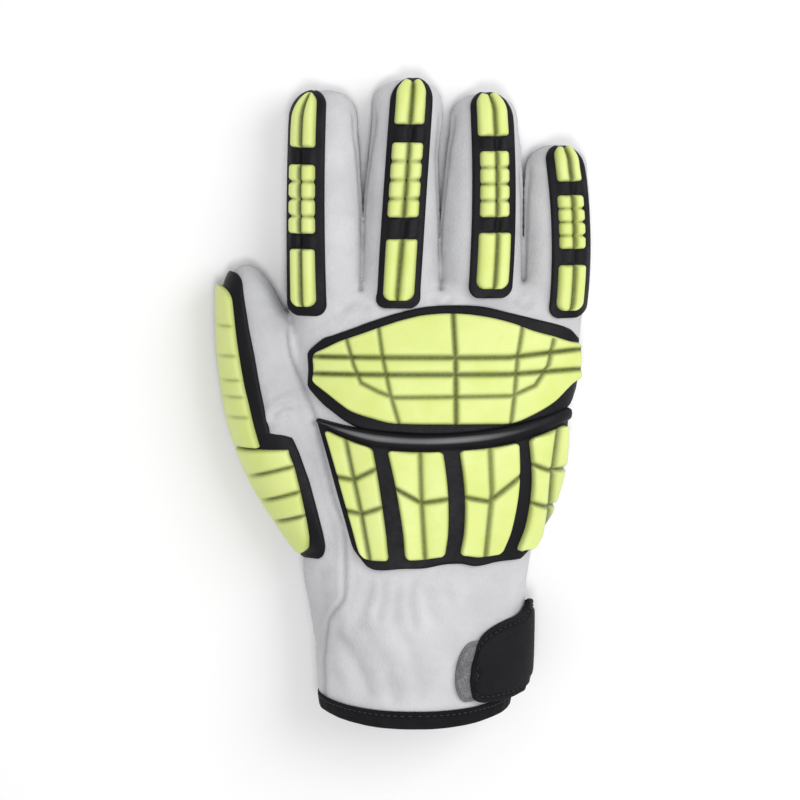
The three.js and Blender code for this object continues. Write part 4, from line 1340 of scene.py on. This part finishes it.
@dataclass
class BackGuard(Guard):
    """The guard over the back of the hand: a base with a thick bar along its far edge, and four panels."""

    far: tuple[float, float, float] = (123.6, 118.1, 127.6)
    near: tuple = ((0, 66.2), (0.09, 62.8), (0.26, 63.3), (0.38, 63.5), (0.5, 65.0), (0.6, 65.2),
                   (0.69, 64.1), (0.82, 65.6), (0.95, 66.0), (1, 66.6))
    sides: tuple = ((0, -50.6, 53.8), (0.3, -45.6, 52.6), (0.5, -42.4, 50.6), (0.75, -38.2, 45.6),
                    (0.9, -35.6, 40.6), (1, -32.6, 36.6))
    bead: float = 0.12
    panel_far: float = 0.135
    panel_near: float = 0.93
    panels: tuple = (
        (0.03, 0.21, 0.04, 0.196), (0.268, 0.489, 0.285, 0.5), (0.553, 0.79, 0.58, 0.807),
        (0.83, 0.985, 0.89, 0.985),
    )
    cross_lines: tuple = (
        (((-54, 103.6), (-40.6, 100.4), (-33.8, 99.3), (-22, 105.5)),
         ((-50, 90), (-37.2, 86.9), (-30.5, 85.7), (-19, 89.8))),
        (((-24, 100), (-20.3, 97.6), (-7.3, 90.4), (6, 92.4)),),
        (((5, 93.6), (7.9, 93.1), (19.2, 90.8), (33, 102)),),
        (((32, 107.2), (41.7, 102.6), (58, 102.6)), ((30, 92), (40.6, 87.7), (54, 88))),
    )
    long_lines: tuple = (
        ((-39.5, 126), (-37.2, 116.2), (-33.8, 99.8), (-30.7, 85.2), (-27.1, 64.0)),
        ((-8.5, 124), (-7.9, 111.1), (-7.3, 90.8), (-5.6, 62.0)),
        ((19.7, 124), (19.7, 111.1), (20.3, 94.2), (16.9, 62)),
        ((46.8, 130.0), (45.7, 118.4), (43.4, 102.6), (41.7, 85.7), (38.4, 66)),
    )
    length: float = 55.0
    breadth: float = 80.0

    def over(self, u: Array, v: Array) -> Pair:
        """Puts shares across and down the guard on the back of the hand."""
        left, right = Track(self.sides).at(v).T
        x = left + (right - left) * u
        far = through(self.far, u)
        y = far + (Track(self.near).line(u) - far) * v
        return self.shell.seat(HAND, y, HAND.angle_at(x, y, GUARD_MIDDLE))

    @staticmethod
    def slimming(u: Array) -> Array:
        """Says how much of the guard's length the bar loses towards its two ends."""
        return 0.085 * np.clip(1 - u / 0.24, 0, 1) ** 1.3 + 0.03 * ramp(u, 0.78, 0.22)

    def base_height(self, p: Spots) -> Pair:
        """Gives the heights of the base, with a painted highlight along the half-round crest of its bar."""
        width = self.bead - self.slimming(p.across)
        t = np.clip(p.along / width, 0, 1)
        crest = half_round(2 * t - 1) * np.clip(width / self.bead, 0, 1) ** 0.5
        # Painted highlight along the bar's crest, strongest at two places along it
        painted_highlight = 0.3 + 0.7 * np.clip(bell((p.across - 0.2) * 6, 1) + bell((p.across - 0.55) * 5, 1), 0, 1)
        on = p.along < width
        return BASE_HIGH + np.where(on, 2.0 * crest, 0), np.where(on, -painted_highlight * bell((t - 0.45) * 4.5, 1), 0)

    def base_place(self, s: Array, c: Array) -> Pair:
        """Puts shares down the base and across it on the hand."""
        draw = corner_inset(s, self.length, 1.2, 4.0) / self.breadth
        return self.over(draw + (1 - 2 * draw) * c, s)

    def panel(self, index: int) -> None:
        """Makes one yellow panel.

        Args:
            index: Which panel, from the thumb side.
        """
        far_left, far_right, near_left, near_right = self.panels[index]
        length = self.length * (self.panel_near - self.panel_far)

        def place(s: Array, c: Array) -> Pair:
            """Puts shares of the panel on the hand."""
            draw = corner_inset(s, length, 1.6, 1.8) / self.breadth
            left = far_left + (near_left - far_left) * s + draw
            right = far_right + (near_right - far_right) * s - draw
            u = left + (right - left) * c
            far = self.panel_far - self.slimming(u)
            return self.over(u, far + (self.panel_near - far) * s)

        def height(p: Spots) -> Pair:
            """Gives the heights of the panel with its grooves, and painted shade in them."""
            cross, long = (away_from_lines(*p.foot[:, :2].T, lines)
                           for lines in (self.cross_lines[index], [self.long_lines[index]]))
            h = BLOCK_HIGH - 1.6 * bell(cross, 0.85) - 1.4 * bell(long, 0.95) - 0.5 * bell(long, 3.2)
            return np.maximum(h, GROOVE_LOW), np.maximum(bell(cross, 1.0), 0.9 * bell(long, 1.0))

        self.add_block(f"back_guard_panel_{index + 1}", f"hand_panel_{index + 1}",
                       Slab(spaced(length, 0.62), spaced(20, 0.6), place), height)

    def build(self) -> None:
        """Makes the base and the four panels."""
        slab = Slab(spaced(self.length, 0.8), spaced(120, 0.9), self.base_place)
        self.add_base("back_guard_base", "hand_base", slab, self.base_height)
        for index in range(len(self.panels)):
            self.panel(index)


@dataclass
class ThumbGuard(Guard):
    """The guard along the thumb, wrapped round its outer side. Rows are y and the inner edge's x."""

    base_rows: tuple = (
        (67.6, -46.8), (72, -46.5), (76.7, -47.2), (86, -49.4), (97.6, -52.3), (109.7, -56.5), (115.2, -59),
        (116.4, -60.4), (117, -68.8), (125, -70.5), (136, -72.8), (148, -74.9), (160, -77.5), (172, -79.4),
        (177, -80), (180.8, -81),
    )
    heel_rows: tuple = ((70.2, -53.2), (76.7, -53), (90.2, -55.3), (103.8, -58.5), (111, -60.8))
    side_rows: tuple = (
        (111.8, -72.8), (120.7, -75.3), (130.8, -77.7), (136.5, -79.1), (153.4, -82), (165, -83.4),
        (175.4, -84.4),
    )
    heel_lines: tuple = (
        ((-95, 94.9), (-73.3, 100.6), (-50, 106.6)), ((-95, 84), (-68.2, 91.1), (-48, 96.3)),
        ((-95, 74), (-61.5, 82.9), (-45, 87)),
    )
    side_levels: tuple = (124.0, 132.0, 138.7, 148.3, 160.2)

    def slab(self, rows: Sequence[Two], outer: float, corners: Two, step: float = 0.62,
             smooth: bool = True) -> Slab:
        """Lays a pad from an inner line in plan round to an outer angle.

        Args:
            rows: The inner edge.
            outer: Angle at which the pad ends, under the thumb's side.
            corners: Corner radii at its two ends.
            step: Spacing of the stations.
            smooth: Whether the inner edge is a curve, not a broken line.

        Returns:
            The pad.
        """
        track = Track(rows)
        first, length = rows[0][0], rows[-1][0] - rows[0][0]

        def place(s: Array, c: Array) -> Pair:
            """Puts shares of the pad on the thumb."""
            y = first + length * s
            inner = track.line(y) if smooth else np.interp(y, track.keys, track.values[:, 0])
            draw = corner_inset(s, length, *corners)
            low = THUMB.angle_at(inner - draw, y, GUARD_MIDDLE)
            return self.shell.seat(THUMB, y, low + (outer - draw / 16 - low) * c, 10)

        return Slab(spaced(length, step), spaced(30, step), place)

    def heel_height(self, p: Spots) -> Pair:
        """Gives the heights of the heel block, with three slanting grooves under painted shade."""
        away = away_from_lines(*p.foot[:, :2].T, self.heel_lines)
        fade = np.clip((0.74 - p.across) / 0.3, 0.12, 1)
        return BLOCK_HIGH - 1.6 * fade * bell(away, 0.85), fade * bell(away, 0.8)

    def side_height(self, p: Spots) -> Pair:
        """Gives the heights of the side block, with faint level grooves under painted shade."""
        away = np.min([np.abs(p.foot[:, 1] - level) for level in self.side_levels], axis=0)
        fade = np.clip((0.7 - p.across) / 0.4, 0.1, 1)
        return BLOCK_HIGH - 0.9 * fade * bell(away, 0.85), 0.45 * fade * bell(away, 0.7)

    def build(self) -> None:
        """Makes the base and the two blocks."""
        self.add_base("thumb_guard_base", "thumb_base",
                      self.slab(self.base_rows, 3.5, (2.2, 3.0), 0.9, False))
        self.add_block("thumb_heel_guard", "thumb_heel_block", self.slab(self.heel_rows, 3.3, (2.0, 0.6)),
                       self.heel_height)
        self.add_block("thumb_side_guard", "thumb_side_block", self.slab(self.side_rows, 3.3, (0.6, 5.5)),
                       self.side_height)


# Palm patch, hem and wrist closure

@dataclass
class PalmPatch:
    """The patch sewn under the palm. Rows are x, near y and far y."""

    shell: LeatherShell
    rows: tuple = (
        (-60, 113, 126), (-50, 104, 134), (-43.5, 101, 155), (-29.3, 96.4, 161.8), (-6.8, 92.5, 162),
        (15.8, 90.2, 162), (32.7, 87.4, 159), (40, 89, 156), (45, 101, 152),
    )

    def place(self, s: Array, c: Array) -> Pair:
        """Puts shares of the patch under the palm, turned outwards where it runs up the side."""
        xs, nears, fars = np.array(self.rows, float).T
        x = xs[0] + (xs[-1] - xs[0]) * s
        near, far = np.interp(x, xs, nears), np.interp(x, xs, fars)
        points = np.stack([x, near + (far - near) * c, np.full(len(x), REST)], axis=1)
        turn = ramp(x, 30, 17) * 0.9
        out = np.stack([np.sin(turn), np.zeros(len(x)), -np.cos(turn)], axis=1)
        return self.shell.onto_skin(points, np.tile([0.0, 0.0, -1.0], (len(x), 1)), depth=16), out

    def build(self, finishes: Finishes) -> None:
        """Makes the patch, with a pressed line for its stitches."""
        def height(p: Spots) -> Pair:
            """Depth of the patch, pressed in along its stitch line, with painted shade there."""
            line = bell(p.edge - 3.2, 0.8)
            return REST - 0.5 * line, 0.5 * line

        bm = Slab(spaced(self.rows[-1][0] - self.rows[0][0], 1.2), spaced(68, 1.2), self.place).mesh(
            0.25, height, edge_low=0.8, edge_round=0.9)
        # The painted shade of the stitch line goes into the leather's crease share
        crease, store = bm.verts.layers.float.new("crease"), bm.verts.layers.float["groove"]
        for vert in bm.verts:
            vert[crease] = vert[store] * 0.5
        finish_piece("palm_patch_panel", bm, finishes.leather, "leather", ["palm_patch"])


@dataclass
class HemBinding:
    """The folded tape over the hem, and its row of stitches."""

    thick: float = 1.2
    gap: float = 0.3
    height: float = 6.5
    lip: float = 1.1
    around: int = 260
    stitch_line: float = 4.6
    stitch_count: int = 96

    def profile(self) -> Array:
        """Gives the tape's closed outline as height above the leather and y, rounded over the hem."""
        out, inn, high = self.gap + self.thick, -WALL - self.gap, self.height
        middle, half = (out + inn - self.lip) / 2, (out - inn + self.lip) / 2
        return np.array([
            (out - 0.35, high), (out, high - 0.4), *[(out, y) for y in np.linspace(high - 1.4, 1.0, 6)],
            *[(middle + half * math.cos(t), -self.lip * math.sin(t)) for t in np.linspace(0, math.pi, 13)],
            *[(inn - self.lip, y) for y in np.linspace(1.0, high - 0.4, 4)],
            (inn - self.lip + 0.35, high), (inn, high - 0.3), (inn, 2.0), (inn, -0.3), (self.gap, -0.3),
            (self.gap, 2.0), (self.gap, high - 0.3),
        ])

    def tape(self) -> BMesh:
        """Makes the tape from a grid rolled along its outline and round the hem.

        Returns:
            Its mesh in pattern millimetres.
        """
        outline = self.profile()
        count = len(outline)
        bm = bmesh.new()
        uv = bm.loops.layers.uv.new("UVMap")
        store = bm.verts.layers.float.new("groove")
        bmesh.ops.create_grid(bm, x_segments=self.around, y_segments=count, size=0.5)
        turn = np.array([round((v.co.x + 0.5) * self.around) for v in bm.verts])
        row = np.array([round((v.co.y + 0.5) * count) for v in bm.verts])
        for face in bm.faces:
            for loop in face.loops:
                loop[uv].uv = ((loop.vert.co.x + 0.5) * 0.26, (loop.vert.co.y + 0.5) * 0.022)
        angle = (turn % self.around) / self.around * TURN
        rise, y = outline[row % count].T
        puff = 0.14 * np.sin(angle * 31) * bell(y - 2.5, 3) + 0.1 * np.sin(angle * 13 + 1.7)
        pressed = bell(y - self.stitch_line, 0.55) * (rise > 0.6)
        out = across_hand(HAND.normal(np.maximum(y, 0.5), angle))
        points = HAND.point(y, angle) + out * (rise + np.where(rise > 0.4, puff - 0.28 * pressed, 0))[:, None]
        points[:, 2] = np.maximum(points[:, 2], 0.15)
        # Painted shade in the pressed stitch line
        for vert, point, dark in zip(bm.verts, points, pressed):
            vert.co = Vector(point)
            vert[store] = 0.7 * dark
        bmesh.ops.remove_doubles(bm, verts=bm.verts[:], dist=1e-4)
        bmesh.ops.recalc_face_normals(bm, faces=bm.faces[:])
        return bm

    def build(self, finishes: Finishes) -> None:
        """Makes the tape and its stitches."""
        finish_piece("hem_binding", self.tape(), finishes.binding, "black_binding", ["cuff_binding"])
        t = (np.arange(self.stitch_count) + 0.5) / self.stitch_count * TURN
        p, ahead = HAND.point(self.stitch_line, t), HAND.point(self.stitch_line, t + 0.01)
        out = across_hand(HAND.normal(self.stitch_line, t))
        on = p[:, 2] >= REST + 0.4
        places = (p + out * (self.gap + self.thick - 0.12))[on]
        finish_piece("hem_stitches", stitches(places, (ahead - p)[on], out[on], 2.0, 0.28), finishes.thread)


def stitches(places: Array, ways: Array, outs: Array, length: float, radius: float) -> BMesh:
    """Makes a row of small rounded stitches.

    Args:
        places: Middle of each stitch.
        ways: Direction of each stitch.
        outs: Outward direction at each stitch.
        length: Length of a stitch.
        radius: Half its thickness.

    Returns:
        One mesh with all stitches, in pattern millimetres.
    """
    bm = bmesh.new()
    bm.verts.layers.float.new("groove")
    size = Matrix.Diagonal((length / 2, radius, radius, 1))
    for place, way, out in zip(places, ways, outs):
        z, x = Vector(out).normalized(), Vector(way).normalized()
        turn = Matrix((x, z.cross(x).normalized(), z)).transposed().to_4x4()
        bmesh.ops.create_icosphere(bm, subdivisions=1, radius=1.0,
                                   matrix=Matrix.Translation(Vector(place)) @ turn @ size)
    return bm


@dataclass
class WristClosure:
    """The grey loop patch on the cuff and the black tab that closes over it.

    Rows of the tab are x, near y and far y. Where it wraps round the side, the angle takes the place of x.
    """

    shell: LeatherShell
    rows: tuple = ((13.4, 15, 27.6), (15.8, 10.2, 34.6), (19.6, 8, 38.6), (25.4, 7.4, 41.5),
                   (30.2, 7.8, 43.2), (33.2, 9, 45.2), (34.9, 10, 48.4))
    wrap: tuple = ((0.25, 11.4, 48.6), (-0.05, 12.6, 47.6), (-0.35, 14, 45), (-0.62, 15, 43))
    loop_left: float = 6.8
    loop_near: float = 8.8
    loop_far: float = 34

    def loop_patch(self) -> BMesh:
        """Makes the loop patch, from its round left end to where the tab hides it.

        Returns:
            Its mesh in pattern millimetres.
        """
        start = HAND.angle_at(self.loop_left, (self.loop_near + self.loop_far) / 2, 1.65)[0]

        def place(s: Array, c: Array) -> Pair:
            """Shares along go round the cuff, shares across go up it."""
            draw = corner_inset(s, 34, 12.2, 2)
            y = self.loop_near + draw + (self.loop_far - self.loop_near - 2 * draw) * c
            return self.shell.seat(HAND, y, start + (0.75 - start) * s, 8)

        def height(p: Spots) -> Pair:
            """Height of the loops, pressed at the stitched edge under painted shade, with a tousled top."""
            edge = bell(p.edge - 1.6, 0.7)
            tuft = np.array([noise.noise(Vector(q) * 1.1) for q in p.foot]) * 0.16
            return 1.55 + tuft - 0.5 * edge, 0.5 * edge

        return Slab(spaced(34, 0.6), spaced(24, 0.6), place).mesh(
            -0.5, height, edge_low=0.7, edge_round=0.7)

    def tab(self) -> Slab:
        """Lays the tab round the cuff, from its free end to the side seam."""
        table = [(HAND.angle_at(x, (near + far) / 2, 4.0)[0], near, far) for x, near, far in self.rows]
        table += list(self.wrap)
        track = Track([(-angle, near, far) for angle, near, far in table])
        first, last = table[0][0], table[-1][0]

        def place(s: Array, c: Array) -> Pair:
            """Shares along go round the cuff from the tab's free end, shares across go up it."""
            angle = first + (last - first) * s
            near, far = track.at(-angle).T
            round_end = 3.0 * np.clip(1 - s / 0.04, 0, 1) ** 2
            y = near + round_end + (far - near - 2 * round_end) * c
            foot, out = self.shell.seat(HAND, y, angle, 8)
            stand = np.clip(1.2 + (44.5 - y) * 0.13, 0, 4.4) * bell((angle - 0.12) / 0.5, 1)
            return foot + out * stand[:, None], out

        return Slab(spaced(58, 0.62), spaced(36, 0.62), place)

    @staticmethod
    def tab_height(p: Spots) -> Pair:
        """Gives the height of the tab: a raised field inside a pressed border under painted shade."""
        line = bell(p.edge - TAB_BORDER, 0.7)
        wave = np.array([noise.noise(Vector(q) * 0.09) for q in p.foot]) * 0.25
        return 3.3 + 0.55 * ramp(p.edge, 3.2, 1.2) - 0.45 * line + wave, 0.6 * line

    @staticmethod
    def border_stitches(tab: Slab) -> BMesh:
        """Makes the stitches along the tab's pressed border.

        Args:
            tab: The tab.

        Returns:
            Their mesh in pattern millimetres.
        """
        places, outs = tab.grid(tab.foot + tab.out * 3.15), tab.grid(tab.out)
        border = np.abs(tab.grid(tab.spots.edge) - TAB_BORDER)
        half, last = tab.columns // 2, tab.rows - 6
        near = [int(np.argmin(row[:half])) for row in border]
        far = [half + int(np.argmin(row[half:])) for row in border]
        start = int(np.argmin(border[:tab.rows // 2, half]))
        chain = [(i, far[i]) for i in range(last, start, -1)]
        chain += [(start, j) for j in range(tab.columns - 5, 3, -1) if near[start + 1] < j < far[start + 1]]
        chain += [(i, near[i]) for i in range(start, last)]
        points, normals = (np.array([values[i, j] for i, j in chain]) for values in (places, outs))
        way = np.concatenate([[0], np.cumsum(np.linalg.norm(np.diff(points, axis=0), axis=1))])

        def along(values: Array, at: Array) -> Array:
            """Reads points or directions at lengths along the border."""
            return np.stack([np.interp(at, way, values[:, k]) for k in range(3)], axis=1)

        at = np.arange(1.3, way[-1] - 1, 2.5)
        middles = along(points, at)
        return stitches(middles, along(points, at + 0.4) - middles, along(normals, at), 1.7, 0.24)

    def build(self, finishes: Finishes) -> None:
        """Makes the loop patch, the tab and the tab's stitched border."""
        finish_piece("wrist_loop_patch", self.loop_patch(), finishes.loop, "grey_loop", ["loop_patch"])
        tab = self.tab()
        bm = tab.mesh(1.4, self.tab_height, edge_low=2.2, edge_round=1.0)
        finish_piece("wrist_tab_panel", bm, finishes.tab, "black_tab", ["wrist_tab"])
        finish_piece("wrist_tab_stitches", self.border_stitches(tab), finishes.thread)


# Studio

@dataclass
class Studio:
    """Floor, lights and camera."""

    lens: float = 170.0
    sensor: float = 36.0
    frame_height: float = 0.326
    lean: float = 7.0
    look_at: Three = (0.0, 0.0, 0.014)
    sky_strength: float = 0.56

    def build(self, finishes: Finishes) -> None:
        """Sets up the studio."""
        bm = bmesh.new()
        bmesh.ops.create_grid(bm, x_segments=8, y_segments=8, size=3)
        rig.stage(add_object("floor", bm, finishes.floor))
        self.lights()
        self.camera()
        settings = bpy.context.scene.view_settings
        settings.view_transform = "Standard"
        settings.look = "None"

    def lights(self) -> None:
        """Adds a broad light from the right, a small one overhead and the pale surroundings."""
        for name, power, size, place in (
            ("key", 10.0, 1.0, (0.95, 0.45, 1.15)),
            ("crest", 7.0, 0.34, (0.03, -0.19, 1.55)),
        ):
            light = bpy.data.lights.new(name, "AREA")
            light.shape = "SQUARE"
            light.size = size
            light.energy = power
            lamp = bpy.data.objects.new(name, light)
            lamp.location = place
            lamp.rotation_mode = "QUATERNION"
            lamp.rotation_quaternion = (-Vector(place)).to_track_quat("-Z", "Y")
            bpy.context.scene.collection.objects.link(lamp)
        world = bpy.data.worlds.new("surroundings")
        world.use_nodes = True
        sky = world.node_tree.nodes["Background"]
        sky.inputs["Color"].default_value = (1.0, 1.0, 1.0, 1)
        sky.inputs["Strength"].default_value = self.sky_strength
        bpy.context.scene.world = world

    def camera(self) -> None:
        """Adds the camera, high over the glove and leaning a little towards the fingertips."""
        data = bpy.data.cameras.new("camera")
        data.lens = self.lens
        data.sensor_width = self.sensor
        data.dof.use_dof = False
        away = self.frame_height * self.lens / self.sensor
        lean = math.radians(self.lean)
        camera = bpy.data.objects.new("camera", data)
        camera.location = Vector(self.look_at) + Vector((0, math.sin(lean), math.cos(lean))) * away
        camera.rotation_euler = (-lean, 0, 0)
        bpy.context.scene.collection.objects.link(camera)
        bpy.context.scene.camera = camera


def main() -> None:
    """Builds the studio and every piece of the glove, and notes the model's size."""
    logging.basicConfig(level=logging.INFO, format="%(name)s %(message)s")
    finishes = Finishes()
    Studio().build(finishes)
    shell = LeatherShell()
    shell.build(finishes)
    for finger in FINGERS:
        FingerGuard(shell, finishes, finger).build()
    for guard in (KnuckleGuard, BackGuard, ThumbGuard):
        guard(shell, finishes).build()
    PalmPatch(shell).build(finishes)
    HemBinding().build(finishes)
    WristClosure(shell).build(finishes)
    sizes = {"cad": [list(v) for v in CAD_BOX], "visual": [list(v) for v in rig.bounds()]}
    with open("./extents.json", "w") as file:
        json.dump(sizes, file)


if __name__ == "__main__":
    main()
